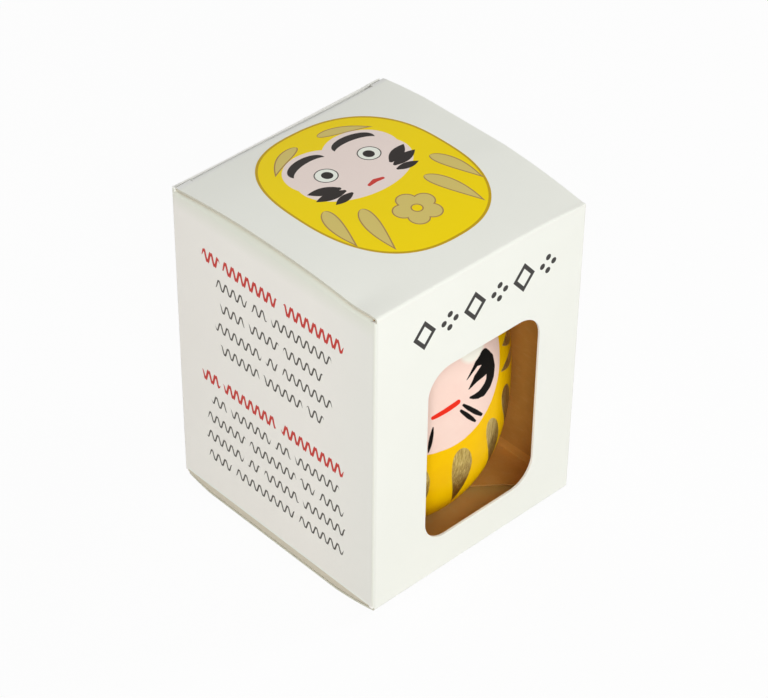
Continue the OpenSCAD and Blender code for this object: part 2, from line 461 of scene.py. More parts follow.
def turned(
    name: str,
    profile: Array,
    slots: Array,
    centre: Point,
    steps: int,
    finishes: Sequence["Finish"],
    sway: float = 0.0,
) -> bpy.types.Object:
    """Turns a profile about an upright axis.

    The point at (i, a) is (r_i cos a, r_i sin a, z_i) from the centre. With a sway, r grows and
    shrinks by a few slow waves in a and z, as a hand-moulded body does. The first and last
    points of the profile lie on the axis and close the shape.

    Args:
        name: Name of the piece.
        profile: Radius and height of each point, (n, 2), in millimetres.
        slots: The material slot of each of the n - 1 bands.
        centre: Where the axis stands.
        steps: Steps round the axis.
        finishes: What each slot wears.
        sway: Size of the waves where the body is widest, in millimetres.

    Returns:
        The closed shape as an object.
    """
    angles = np.linspace(0.0, 2.0 * np.pi, steps, endpoint=False)
    radii, heights = profile[1:-1, 0, None], profile[1:-1, 1, None]
    share = np.clip(radii / profile[:, 0].max(), 0.0, 1.0)
    radii = radii + sway * share**2 * hand_waves(angles, heights)
    x, y = centre[0] + radii * np.cos(angles), centre[1] + radii * np.sin(angles)
    rings = np.stack([x, y, np.broadcast_to(heights, radii.shape)], axis=-1)
    poles = np.array([[*centre, profile[0, 1]], [*centre, profile[-1, 1]]])
    rows = len(rings)
    index = np.arange(rows * steps).reshape(rows, steps)
    after = np.roll(index, -1, axis=1)
    quads = np.stack([index[:-1], index[1:], after[1:], after[:-1]], axis=-1)
    pole = np.full(steps, rows * steps)
    faces = [
        np.stack([pole, index[0], after[0]], axis=-1),
        np.stack([pole + 1, after[-1], index[-1]], axis=-1),
    ]
    groups = [int(slots[0]), int(slots[-1])]
    for slot in np.unique(slots[1:-1]):
        faces.append(quads[slots[1:-1] == slot].reshape(-1, 4))
        groups.append(int(slot))
    return store(name, np.vstack([rings.reshape(-1, 3), poles]), faces, groups, finishes)


# ---- Materials ----


def operator(operation: str, swapped: bool = False) -> Callable[["Wire", Value], "Wire"]:
    """A method of Wire that adds the node of an operation.

    Args:
        operation: The node's operation.
        swapped: Whether the other value comes first, as it does in 1 - mask.

    Returns:
        The method.
    """

    def method(self: "Wire", other: Value) -> "Wire":
        """The operation's result on this wire and another value."""
        return self.work(operation, *((other, self) if swapped else (self, other)))

    return method


class Wire:
    """One socket of a material. Arithmetic on it adds the nodes that work it out."""

    def __init__(self, net: "Net", socket: bpy.types.NodeSocket, vector: bool = False) -> None:
        """Wraps a socket of a net; vector says that it carries a place rather than a number."""
        self.net, self.socket, self.vector = net, socket, vector

    __add__, __radd__ = operator("ADD"), operator("ADD", swapped=True)
    __sub__, __rsub__ = operator("SUBTRACT"), operator("SUBTRACT", swapped=True)
    __mul__, __rmul__ = operator("MULTIPLY"), operator("MULTIPLY", swapped=True)
    __truediv__, __pow__ = operator("DIVIDE"), operator("POWER")
    least, most = operator("MINIMUM"), operator("MAXIMUM")
    above, angle = operator("GREATER_THAN"), operator("ARCTAN2")

    def work(self, operation: str, *values: Value) -> "Wire":
        """The result of a Math node, or of a Vector Math node where a value is a vector.

        Args:
            operation: The node's operation.
            values: The value or wire of each of its sockets.

        Returns:
            The result.
        """
        vector = any(isinstance(v, Wire) and v.vector for v in values)
        kind = "ShaderNodeVectorMath" if vector else "ShaderNodeMath"
        if vector:
            values = tuple((v,) * 3 if isinstance(v, (int, float)) else v for v in values)
        inputs = dict(enumerate(values))
        return self.net.wire(kind, {"operation": operation}, inputs, vector=vector)

    def __neg__(self) -> "Wire":
        """Minus self."""
        return self.work("MULTIPLY", self, -1.0)

    def wave(self) -> "Wire":
        """The sine of this wire, in radians."""
        return self.work("SINE", self)

    def __abs__(self) -> "Wire":
        """self without its sign."""
        return self.work("ABSOLUTE", self)

    def clamped(self) -> "Wire":
        """self held between 0 and 1."""
        return self.net.wire("ShaderNodeClamp", {}, {0: self})

    def dot(self, way: Point, less: float) -> "Wire":
        """The dot product of a vector with a constant one, less a number."""
        settings, inputs = {"operation": "DOT_PRODUCT"}, {0: self, 1: (*way, 0.0)}
        return self.net.wire("ShaderNodeVectorMath", settings, inputs, "Value") - less

    def parts(self) -> Tuple["Wire", "Wire", "Wire"]:
        """The three coordinates of a vector."""
        node = self.net.node("ShaderNodeSeparateXYZ", {}, {0: self})
        return tuple(Wire(self.net, s) for s in node.outputs)


class Net:
    """The nodes of one material or of the sky."""

    def __init__(self, owner: Union[bpy.types.Material, bpy.types.World]) -> None:
        """Gives the owner a node tree and clears it.

        Args:
            owner: The material or the world.
        """
        owner.use_nodes = True
        self.tree = owner.node_tree
        self.tree.nodes.clear()

    def node(
        self, kind: str, settings: Dict[str, object], inputs: Dict[Union[int, str], Value]
    ) -> bpy.types.Node:
        """Adds a node.

        Args:
            kind: Blender's name for its type.
            settings: Its settings, which are set first; "stops" are a ramp's places and colours.
            inputs: The value or wire of each socket, by the socket's name or number.

        Returns:
            The node.
        """
        node = self.tree.nodes.new(kind)
        settings = dict(settings)
        stops = settings.pop("stops", ())
        for key, value in settings.items():
            setattr(node, key, value)
        for _ in stops[2:]:
            node.color_ramp.elements.new(1.0)
        for i, (place, colour) in enumerate(stops):
            element = node.color_ramp.elements[i]
            element.position, element.color = place, (*colour, 1.0)
        for key, value in inputs.items():
            socket = node.inputs[key]
            if isinstance(value, Wire):
                self.tree.links.new(value.socket, socket)
            elif isinstance(value, tuple) and len(value) == 3 and socket.type == "RGBA":
                socket.default_value = (*value, 1.0)
            else:
                socket.default_value = value
        return node

    def wire(
        self,
        kind: str,
        settings: Dict[str, object],
        inputs: Dict[Union[int, str], Value],
        output: Union[int, str] = 0,
        vector: bool = False,
    ) -> Wire:
        """Adds a node and takes one of its outputs, by name or number, as a wire."""
        return Wire(self, self.node(kind, settings, inputs).outputs[output], vector)

    def place(self) -> Wire:
        """Place on the piece, in millimetres."""
        return self.wire("ShaderNodeTexCoord", {}, {}, "Object", vector=True) * (1.0 / MM)

    def vector(self, x: Value, y: Value, z: Value = 0.0) -> Wire:
        """A vector of three values."""
        return self.wire("ShaderNodeCombineXYZ", {}, {0: x, 1: y, 2: z}, vector=True)

    def noise(
        self,
        at: Wire,
        scale: float,
        detail: float = 3.0,
        roughness: float = 0.55,
        stretch: Point3 = EVEN,
    ) -> Wire:
        """Cloudy noise from 0 to 1.

        Args:
            at: Place, in millimetres.
            scale: Cells per millimetre.
            detail: Octaves of finer noise.
            roughness: How strong the finer noise is.
            stretch: Factors on the scale along each axis.

        Returns:
            The noise.
        """
        where = at if stretch == EVEN else at * stretch
        inputs = {"Vector": where, "Scale": scale, "Detail": detail, "Roughness": roughness}
        return self.wire("ShaderNodeTexNoise", {}, inputs)

    def specks(self, at: Wire, scale: float, size: float) -> Wire:
        """1 inside scattered round specks of that size, as a share of a cell, and 0 elsewhere."""
        off = self.wire("ShaderNodeTexVoronoi", {}, {"Vector": at, "Scale": scale}, "Distance")
        return (1.0 - off * (1.0 / size)).clamped()

    def mix(self, base: Value, other: Value, share: Value) -> Wire:
        """The base colour, changed to the other by the share."""
        return self.wire("ShaderNodeMix", {"data_type": "RGBA"}, {0: share, 6: base, 7: other}, 2)

    def ramp(self, share: Wire, stops: Sequence[Tuple[float, Colour]]) -> Wire:
        """A colour that goes through the stops as share goes from 0 to 1."""
        return self.wire("ShaderNodeValToRGB", {"stops": stops}, {0: share})

    def shader(
        self,
        colour: Value,
        roughness: Value,
        height: Optional[Wire] = None,
        depth: float = 0.0,
        **constants: Value,
    ) -> Wire:
        """Adds the Principled shader of a surface.

        Args:
            colour: Base colour.
            roughness: Roughness.
            height: Relief from 0 to 1, if the surface has any.
            depth: How deep that relief is, in millimetres.
            constants: Other sockets of the shader, with _ for each space in their names.

        Returns:
            The shader.
        """
        inputs = {"Base Color": colour, "Roughness": roughness}
        inputs.update({key.replace("_", " "): value for key, value in constants.items()})
        if height is not None:
            relief = {"Height": height, "Distance": depth * MM, "Strength": 1.0}
            inputs["Normal"] = self.wire("ShaderNodeBump", {}, relief, vector=True)
        return self.wire("ShaderNodeBsdfPrincipled", {}, inputs)


@dataclass
class Pen:
    """Outlines on a plane of a material.

    Each outline is a wire: about the distance from the outline, in millimetres, and negative
    inside it.
    """

    at: Wire

    def oval(self, centre: Point, radii: Point, turn: float = 0.0, power: float = 2.0) -> Wire:
        """A superellipse: ((|u| / a)^p + (|v| / b)^p)^(1/p) less 1, times the smaller radius.

        Args:
            centre: Its middle.
            radii: Its half-axes a and b.
            turn: How far it is turned, in degrees.
            power: Its power p; 2 gives an ellipse.

        Returns:
            Its outline.
        """
        u, v = self.own(centre, turn, radii)
        if power == 2.0:
            reach = (u * u + v * v) ** 0.5
        else:
            reach = (abs(u) ** power + abs(v) ** power) ** (1.0 / power)
        return (reach - 1.0) * min(radii)

    def own(self, centre: Point, turn: float, size: Point = (1.0, 1.0)) -> Tuple[Wire, Wire]:
        """The two coordinates as seen from a centre with its own turn in degrees and size.

        Args:
            centre: Where they are zero.
            turn: How far u is turned from the plane's first axis.
            size: The length that counts as 1 along each.

        Returns:
            The coordinates u and v.
        """
        a = math.radians(turn)
        cos, sin = math.cos(a), math.sin(a)
        ways = ((cos / size[0], sin / size[0]), (-sin / size[1], cos / size[1]))
        return tuple(self.at.dot(way, centre[0] * way[0] + centre[1] * way[1]) for way in ways)

    def along(self, start: Point, end: Point) -> Tuple[Wire, Wire, Wire, float]:
        """The two coordinates along and off a line, the share of it, and its length.

        Args:
            start: Where the line starts.
            end: Where it ends.

        Returns:
            u along it, v off it, u / length held between 0 and 1, and the length.
        """
        run = np.subtract(end, start)
        length = float(np.hypot(*run))
        u, v = self.own(start, math.degrees(math.atan2(run[1], run[0])))
        return u, v, (u * (1.0 / length)).clamped(), length

    def stroke(
        self, start: Point, end: Point, first: float, last: float, belly: float = 0.0
    ) -> Wire:
        """A brush stroke: the distance from a line less a radius that changes along it.

        With t from 0 to 1 along the line, the radius is first (1 - t) + last t
        + 4 belly t (1 - t).

        Args:
            start: Where it starts.
            end: Where it ends.
            first: Radius at the start.
            last: Radius at the end.
            belly: What the radius gains half-way.

        Returns:
            Its outline.
        """
        u, v, share, length = self.along(start, end)
        short = u - share * length
        radius = first + share * (last - first)
        if belly:
            radius = radius + 4.0 * belly * share * (1.0 - share)
        return (short * short + v * v) ** 0.5 - radius

    def leaf(self, top: Point, tip: Point, width: float, bend: float = 0.0) -> Wire:
        """A leaf-shaped stroke with a round top and a pointed tip.

        With t from 0 at the top to 1 at the tip, half the width follows t^p (1 - t)^q, which
        is widest at p / (p + q).

        Args:
            top: Its round end.
            tip: Its pointed end.
            width: Its greatest width.
            bend: How far its middle is moved sideways.

        Returns:
            Its outline.
        """
        u, v, share, length = self.along(top, tip)
        p, q, blunt = 0.5, 1.05, 0.02
        peak = p / (p + q)
        tallest = peak**p * (1.0 - peak) ** q
        half = share**p * (1.0 - share) ** q * (width / 2.0 / tallest)
        if bend:
            v = v - 4.0 * bend * share * (1.0 - share)
        return abs(v) + abs(u - share * length) - half + blunt

    def crescent(
        self, centre: Point, radii: Point, bite: Point, bite_radii: Point, turn: float = 0.0
    ) -> Wire:
        """An oval with another oval bitten out of it."""
        return self.oval(centre, radii, turn).most(-self.oval(bite, bite_radii, turn))

    def ink(self, outline: Wire, soft: float = 0.07) -> Wire:
        """1 inside an outline and 0 outside it, with an edge soft millimetres wide."""
        return (0.5 - outline * (1.0 / soft)).clamped()

    def line(self, outline: Wire, width: float, soft: float = 0.07) -> Wire:
        """1 within half a width of an outline."""
        return self.ink(abs(outline) - width / 2.0, soft)


def joined(outlines: Sequence[Wire]) -> Wire:
    """One outline round them all: the least of their distances.

    Args:
        outlines: The outlines.

    Returns:
        Their common outline.
    """
    whole = outlines[0]
    for outline in outlines[1:]:
        whole = whole.least(outline)
    return whole


class Finish(ABC):
    """What a surface wears: a material that is made once under its name."""

    made: ClassVar[Dict[str, bpy.types.Material]] = {}
    name: str

    def material(self) -> bpy.types.Material:
        """The material of this name, made the first time that it is asked for.

        Returns:
            The material, which wears what dress gives.
        """
        if self.name not in self.made:
            material = bpy.data.materials.new(self.name)
            net = Net(material)
            net.node("ShaderNodeOutputMaterial", {}, {0: self.dress(net)})
            self.made[self.name] = material
        return self.made[self.name]

    @abstractmethod
    def dress(self, net: Net) -> Wire:
        """Adds the nodes of this finish to an empty net and gives its shader."""


class Artwork(Protocol):
    """What is printed on a panel."""

    def over(self, place: Wire, board: Wire) -> Wire:
        """The board's colour with the print on it."""


@dataclass(frozen=True)
class LidPicture:
    """A plain traditional wishing doll, printed flat in yellow, buff, pink, black and red."""

    centre: Point = (0.3, 2.2)
    yellow: Colour = srgb(247, 218, 0)
    rim: Colour = srgb(196, 160, 20)
    buff: Colour = srgb(214, 195, 112)
    brown: Colour = srgb(168, 132, 80)
    skin: Colour = srgb(240, 224, 216)
    black: Colour = srgb(42, 36, 33)
    white: Colour = srgb(240, 243, 232)
    red: Colour = srgb(206, 66, 58)
    rim_width: float = 0.5
    outline: float = 0.3
    skirt: float = 0.12

    def over(self, place: Wire, board: Wire) -> Wire:
        """Body, hood bands, face, brows, eyes, whiskers, mouth, blossom and robe folds.

        Args:
            place: Place on the piece, in millimetres.
            board: Colour of the board under the print.

        Returns:
            The board's colour with the print on it.
        """
        net, (x, y, _) = place.net, place.parts()
        pen = Pen(net.vector(x - self.centre[0], y - self.centre[1]))
        half = Pen(net.vector(abs(x - self.centre[0]), y - self.centre[1]))
        body = pen.oval((0.0, 0.0), (20.8, 25.4), power=2.45)
        face = joined([half.oval((5.6, 9.4), (8.6, 8.2)), pen.oval((0.0, 5.4), (14.2, 9.6))])
        colour = net.mix(board, self.yellow, pen.ink(body))
        colour = net.mix(colour, self.rim, pen.line(body + self.rim_width / 2.0, self.rim_width))
        buffs = joined(
            [
                half.leaf((3.0, 20.6), (13.8, 14.8), 3.1, bend=0.9),
                half.leaf((8.9, -6.2), (12.6, -20.6), 3.9, bend=0.5),
                half.leaf((15.0, -1.6), (17.8, -14.8), 3.7, bend=0.5),
                self.blossom(pen, (0.0, -13.4), 2.4, 3.1),
            ]
        )
        colour = net.mix(colour, self.buff, pen.ink(buffs))
        colour = net.mix(colour, self.brown, pen.line(buffs + self.skirt, self.outline))
        colour = net.mix(colour, self.skin, pen.ink(face))
        eyes = half.oval((6.1, 7.6), (2.5, 2.5))
        colour = net.mix(colour, self.white, pen.ink(eyes))
        blacks = joined(
            [
                half.crescent((6.6, 13.1), (5.2, 3.1), (6.2, 11.3), (5.6, 2.7), turn=-8.0),
                abs(eyes) - self.skirt,
                half.oval((5.9, 7.5), (1.25, 1.35)),
                half.stroke((7.4, 2.2), (13.6, 5.0), 0.5, 0.1, belly=1.15),
                half.stroke((7.2, 0.8), (13.9, 1.9), 0.45, 0.1, belly=1.05),
                half.stroke((6.6, -0.8), (11.6, -1.6), 0.4, 0.1, belly=0.8),
            ]
        )
        colour = net.mix(colour, self.black, pen.ink(blacks))
        mouth = half.stroke((0.0, -0.7), (1.9, -1.1), 0.62, 0.4)
        return net.mix(colour, self.red, pen.ink(mouth))

    @staticmethod
    def blossom(pen: Pen, centre: Point, petal: float, reach: float) -> Wire:
        """Five round petals about a centre, and a round eye cut out of their middle.

        Args:
            pen: The pen of its plane.
            centre: Its middle.
            petal: Radius of a petal.
            reach: From its middle to the middle of a petal.

        Returns:
            Its outline.
        """
        eye, petals = 1.1, []
        for i in range(5):
            a = math.radians(90.0 + 72.0 * i)
            middle = (centre[0] + reach * math.cos(a), centre[1] + reach * math.sin(a))
            petals.append(pen.oval(middle, (petal, petal)))
        return joined(petals).most(-pen.oval(centre, (eye, eye)))


@dataclass(frozen=True)
class TitleMarks:
    """A row of plain lozenges and four-dot crosses, in dark grey, above the window."""

    centre: Point = (1.3, 70.2)
    pitch: float = 7.1
    size: Point = (2.55, 3.0)
    stroke: float = 0.95
    dot: float = 0.741
    off: float = 1.683
    grey: Colour = srgb(62, 60, 58)

    def over(self, place: Wire, board: Wire) -> Wire:
        """Three lozenges and, between and after them, three crosses of four dots.

        Args:
            place: Place on the piece, in millimetres.
            board: Colour of the board under the print.

        Returns:
            The board's colour with the print on it.
        """
        net, (x, _, z) = place.net, place.parts()
        pen = Pen(net.vector(x, z))
        left = self.centre[0] - 2.5 * self.pitch
        outlines = []
        for i in range(6):
            middle = (left + i * self.pitch, self.centre[1])
            if i % 2 == 0:
                outlines.append(abs(self.lozenge(pen, middle)) - self.stroke / 2.0)
            else:
                for x_off, z_off in ((1.0, 0.0), (-1.0, 0.0), (0.0, 1.0), (0.0, -1.0)):
                    spot = (middle[0] + x_off * self.off, middle[1] + z_off * self.off)
                    outlines.append(pen.oval(spot, (self.dot, self.dot)))
        return net.mix(board, self.grey, pen.ink(joined(outlines)))

    def lozenge(self, pen: Pen, middle: Point) -> Wire:
        """|u| / a + |v| / b less 1, scaled to millimetres across its sides.

        Args:
            pen: The pen of its plane.
            middle: Its middle.

        Returns:
            Its outline.
        """
        u, v = pen.own(middle, 0.0, self.size)
        a, b = self.size
        return (abs(u) + abs(v) - 1.0) * (a * b / math.hypot(a, b))


@dataclass(frozen=True)
class RuledNotes:
    """Two blocks of waved rules where a label would have words: a red line and four grey ones."""

    red: Colour = srgb(200, 62, 54)
    grey: Colour = srgb(84, 80, 74)
    thin: float = 0.25
    bold: float = 0.44
    wave_height: float = 1.05
    wave_length: float = 2.3
    half_width: float = 30.0
    rise: float = 0.6
    overrun: float = 0.1

    def rows(self) -> List[Tuple[float, List[Point], bool]]:
        """Height, rules as (start, end) along the wall, and whether red, for each row.

        Returns:
            The rows, from the top down.
        """
        return [
            (68.5, [(-21.8, -16.4), (-15.2, 1.6), (4.0, 21.8)], True),
            (62.9, [(-17.6, -7.8), (-6.2, -1.6), (0.0, 18.2)], False),
            (57.1, [(-16.4, -8.8), (-7.2, 2.0), (3.6, 15.6)], False),
            (51.4, [(-18.2, -3.6), (-2.0, 1.6), (3.2, 18.4)], False),
            (45.8, [(-16.6, -4.4), (-2.8, 9.2), (10.8, 15.8)], False),
            (35.5, [(-23.2, -17.6), (-16.2, 0.6), (2.6, 21.8)], True),
            (29.7, [(-20.4, -15.6), (-14.0, -1.2), (0.4, 5.2), (6.8, 20.4)], False),
            (24.2, [(-22.0, -9.6), (-8.0, 6.8), (8.4, 12.8), (14.4, 21.8)], False),
            (18.8, [(-22.6, -10.4), (-8.8, -5.0), (-3.4, 7.6), (9.2, 22.4)], False),
            (13.2, [(-22.0, -14.6), (-13.0, 6.2), (7.8, 21.8)], False),
        ]

    def over(self, place: Wire, board: Wire) -> Wire:
        """Rows of waved rules; a ramp along the wall gives each row its gaps.

        A rule follows z = height + a sin(k y); dividing by the root of 1 + (a k cos(k y))^2
        keeps its stroke even.

        Args:
            place: Place on the piece, in millimetres.
            board: Colour of the board under the print.

        Returns:
            The board's colour with the print on it.
        """
        net, (_, y, z) = place.net, place.parts()
        pen = Pen(place)
        tall, pace = self.wave_height, 2.0 * math.pi / self.wave_length
        bend = (y * pace).wave() * tall
        steep = (y * pace + math.pi / 2.0).wave() * (tall * pace)
        even = (steep * steep + 1.0) ** -0.5
        share = (y * -1.0 + self.half_width) * (0.5 / self.half_width)
        colour = board
        for red, stroke, paint in ((True, self.bold, self.red), (False, self.thin, self.grey)):
            outlines = [
                abs(z - bend - height) * even - self.swell(share, rules) * stroke
                for height, rules, is_red in self.rows()
                if is_red == red
            ]
            colour = net.mix(colour, paint, pen.ink(joined(outlines)))
        return colour

    def swell(self, share: Wire, rules: Sequence[Point]) -> Wire:
        """0 in the gaps of a row and 1 on its rules, with a round rise at each end.

        Args:
            share: Place along the wall, from 0 to 1.
            rules: Where each rule of the row starts and ends, in millimetres.

        Returns:
            The square root of a ramp along the row, a little lowered so that gaps stay bare.
        """
        stops = []
        for start, end in rules:
            low, high = start - self.overrun, end + self.overrun
            levels = ((low, 0.0), (start + self.rise, 1.0), (end - self.rise, 1.0), (high, 0.0))
            stops += [((at / self.half_width + 1.0) / 2.0, (v, v, v)) for at, v in levels]
        return share.net.ramp(share, stops) ** 0.5 - 0.1


@dataclass(frozen=True)
class ToneBand:
    """A band of colour along an axis, from start to end in mm: most are painted shade, one a
    painted highlight, two a pale rim.
    """

    axis: Axis
    start: float
    end: float
    colour: Colour

    def over(self, place: Wire, board: Wire) -> Wire:
        """The colour under it, going over to the band's colour as (place - start) / (end - start).

        Args:
            place: Place on the piece, in millimetres.
            board: Colour of the coat.

        Returns:
            The colour with the band on it.
        """
        along = place.parts()[self.axis]
        share = ((along - self.start) * (1.0 / (self.end - self.start))).clamped()
        return place.net.mix(board, self.colour, share)


@dataclass(frozen=True)
class CoatedBoard(Finish):
    """The white coated outside of the board, bare or printed."""

    name: str = "coated_board"
    artwork: Optional[Artwork] = None
    # Bands over the coat; on the panels they paint shade and a highlight.
    wear: Tuple[ToneBand, ...] = ()
    white: Colour = srgb(243, 244, 236)
    shade: Colour = srgb(238, 239, 230)
    roughness: float = 0.46

    def dress(self, net: Net) -> Wire:
        """Cloudy white coating with a faint tooth, any bands of painted shade and highlight, and
        the print on it.

        Args:
            net: The material's nodes.

        Returns:
            The shader.
        """
        place = net.place()
        cloud = net.noise(place, 0.06, detail=4.0)
        tooth = net.noise(place, 2.6, detail=4.0, roughness=0.6)
        fibre = net.noise(place, 0.55, detail=3.0, stretch=(1.0, 1.0, 0.35))
        colour = net.mix(self.white, self.shade, cloud * 0.8 + tooth * 0.2)
        for band in self.wear:
            colour = band.over(place, colour)
        if self.artwork:
            colour = self.artwork.over(place, colour)
        roughness = self.roughness + 0.08 * (tooth - 0.5) + 0.06 * (cloud - 0.5)
        height = tooth * 0.35 + fibre * 0.65
        return net.shader(colour, roughness, height, depth=0.012, Specular_IOR_Level=0.12)


@dataclass(frozen=True)
class KraftInside(Finish):
    """The bare brown inside of the board."""

    name: str = "kraft_inside"
    brown: Colour = srgb(216, 158, 72)
    dark: Colour = srgb(197, 140, 57)
    pale: Colour = srgb(226, 178, 100)
    # Bands over the kraft: painted shade on the bottom lid's edges, a pale rim on the back wall's
    # inside.
    wear: Tuple[ToneBand, ...] = ()

    def dress(self, net: Net) -> Wire:
        """Brown pulp with fibres along the grain and a few pale and dark specks.

        Args:
            net: The material's nodes.

        Returns:
            The shader.
        """
        place = net.place()
        pulp = net.noise(place, 0.22, detail=5.0)
        fibre = net.noise(place, 1.5, detail=4.0, roughness=0.7, stretch=(0.25, 0.25, 1.0))
        specks = net.specks(place, 0.9, 0.2)
        colour = net.mix(self.brown, self.dark, (pulp * 1.6 - 0.4).clamped() * 0.7)
        colour = net.mix(colour, self.pale, (fibre * 3.0 - 1.5).clamped() * 0.5)
        colour = net.mix(colour, self.dark, specks * 0.6)
        for band in self.wear:
            colour = band.over(place, colour)
        roughness, height = 0.86 + 0.1 * (fibre - 0.5), fibre * 0.7 + pulp * 0.3
        return net.shader(colour, roughness, height, depth=0.03, Specular_IOR_Level=0.25)


@dataclass(frozen=True)
class CutEdge(Finish):
    """The cut edge of the board: cream pulp under a thin white coating."""

    name: str = "cut_edge"
    # These default tones, greyer than the walls' edges, paint shade on the lid and tuck edges that
    # use them.
    cream: Colour = srgb(210, 208, 192)
    tan: Colour = srgb(190, 186, 164)

    def dress(self, net: Net) -> Wire:
        """Cream pulp with broken tan layers.

        Args:
            net: The material's nodes.

        Returns:
            The shader.
        """
        place = net.place()
        layers = net.noise(place, 3.5, detail=4.0, roughness=0.7)
        colour = net.mix(self.cream, self.tan, (layers * 2.6 - 1.2).clamped() * 0.6)
        roughness = 0.85 + 0.1 * (layers - 0.5)
        return net.shader(colour, roughness, layers, depth=0.04, Specular_IOR_Level=0.25)


# Painted shade and highlight bands, and board tones, that several panels share. Heights and places
# are in millimetres.
RIM = srgb(236, 236, 231)
# Painted shade: the grey-beige of white coat in shadow, put on the bottom lid's inside edges that
# show below the side walls.
LID_EDGE_PAINTED_SHADE = srgb(214, 208, 187)
# Painted shade: the lid's shade on the side walls' tops and on the dust flaps' creases below it.
HIGH_PAINTED_SHADE = ToneBand(Axis.Z, 75.6, 81.0, srgb(228, 230, 215))
# Painted shadow of the lid, darker, on the dust flaps just under its edge.
HIGH_SHADE = ToneBand(Axis.Z, 80.7, 82.4, srgb(214, 215, 198))
# Painted shade on the bottom dust flaps' creases, which turn down out of the light.
LOW_PAINTED_SHADE = ToneBand(Axis.Z, 3.05, 2.95, srgb(211, 203, 182))
# Painted shade on the back creases of the lids and tucks, which turn away from the light.
TUCK_PAINTED_SHADE = ToneBand(Axis.Y, 28.4, 29.8, srgb(230, 230, 226))
# Painted shade on the front wall beside its near upright crease.
FRONT_PAINTED_SHADE = (ToneBand(Axis.X, -29.1, -29.7, srgb(230, 231, 222)),)
# Left wall: painted shade towards the front, the lid's painted shade at the top, painted shade at
# the near crease and a painted highlight along the bottom crease.
LEFT_PAINTED_SHADE_AND_HIGHLIGHT = (
    ToneBand(Axis.Y, -12.0, -31.0, srgb(236, 235, 227)),
    HIGH_PAINTED_SHADE,
    ToneBand(Axis.Y, -30.3, -30.9, srgb(224, 224, 213)),
    # Painted highlight along the bottom crease.
    ToneBand(Axis.Z, 3.5, 3.1, srgb(252, 248, 244)),
)
KRAFT_BACK = KraftInside(
    "kraft_back", wear=(ToneBand(Axis.Z, 79.2, 79.4, RIM), ToneBand(Axis.Z, 3.9, 3.7, RIM))
)
# Painted light: a paler copy of the kraft for the bottom dust flaps' insides, which lie in deep
# shade.
KRAFT_FLOOR_PAINTED_LIGHT = KraftInside(
    "kraft_floor", srgb(234, 176, 84), srgb(216, 157, 68), srgb(240, 192, 112)
)
# Painted light: the palest copy of the kraft, for the bottom lid's inside, with grey-beige painted
# shade along its side edges.
KRAFT_REST_PAINTED_LIGHT = KraftInside(
    "kraft_rest", srgb(255, 208, 116), srgb(250, 192, 98), srgb(255, 220, 140),
    (ToneBand(Axis.X, -28.6, -28.8, LID_EDGE_PAINTED_SHADE), ToneBand(Axis.X, 28.6, 28.8, LID_EDGE_PAINTED_SHADE)),
)
WALL_EDGE = CutEdge("cut_edge_wall", srgb(244, 244, 238), srgb(226, 224, 214))
# Painted shade: the dust flaps' cut edges are given the brown of the light inside the carton.
FLAP_EDGE_PAINTED_SHADE = CutEdge("cut_edge_flap", srgb(226, 178, 96), srgb(206, 156, 80))


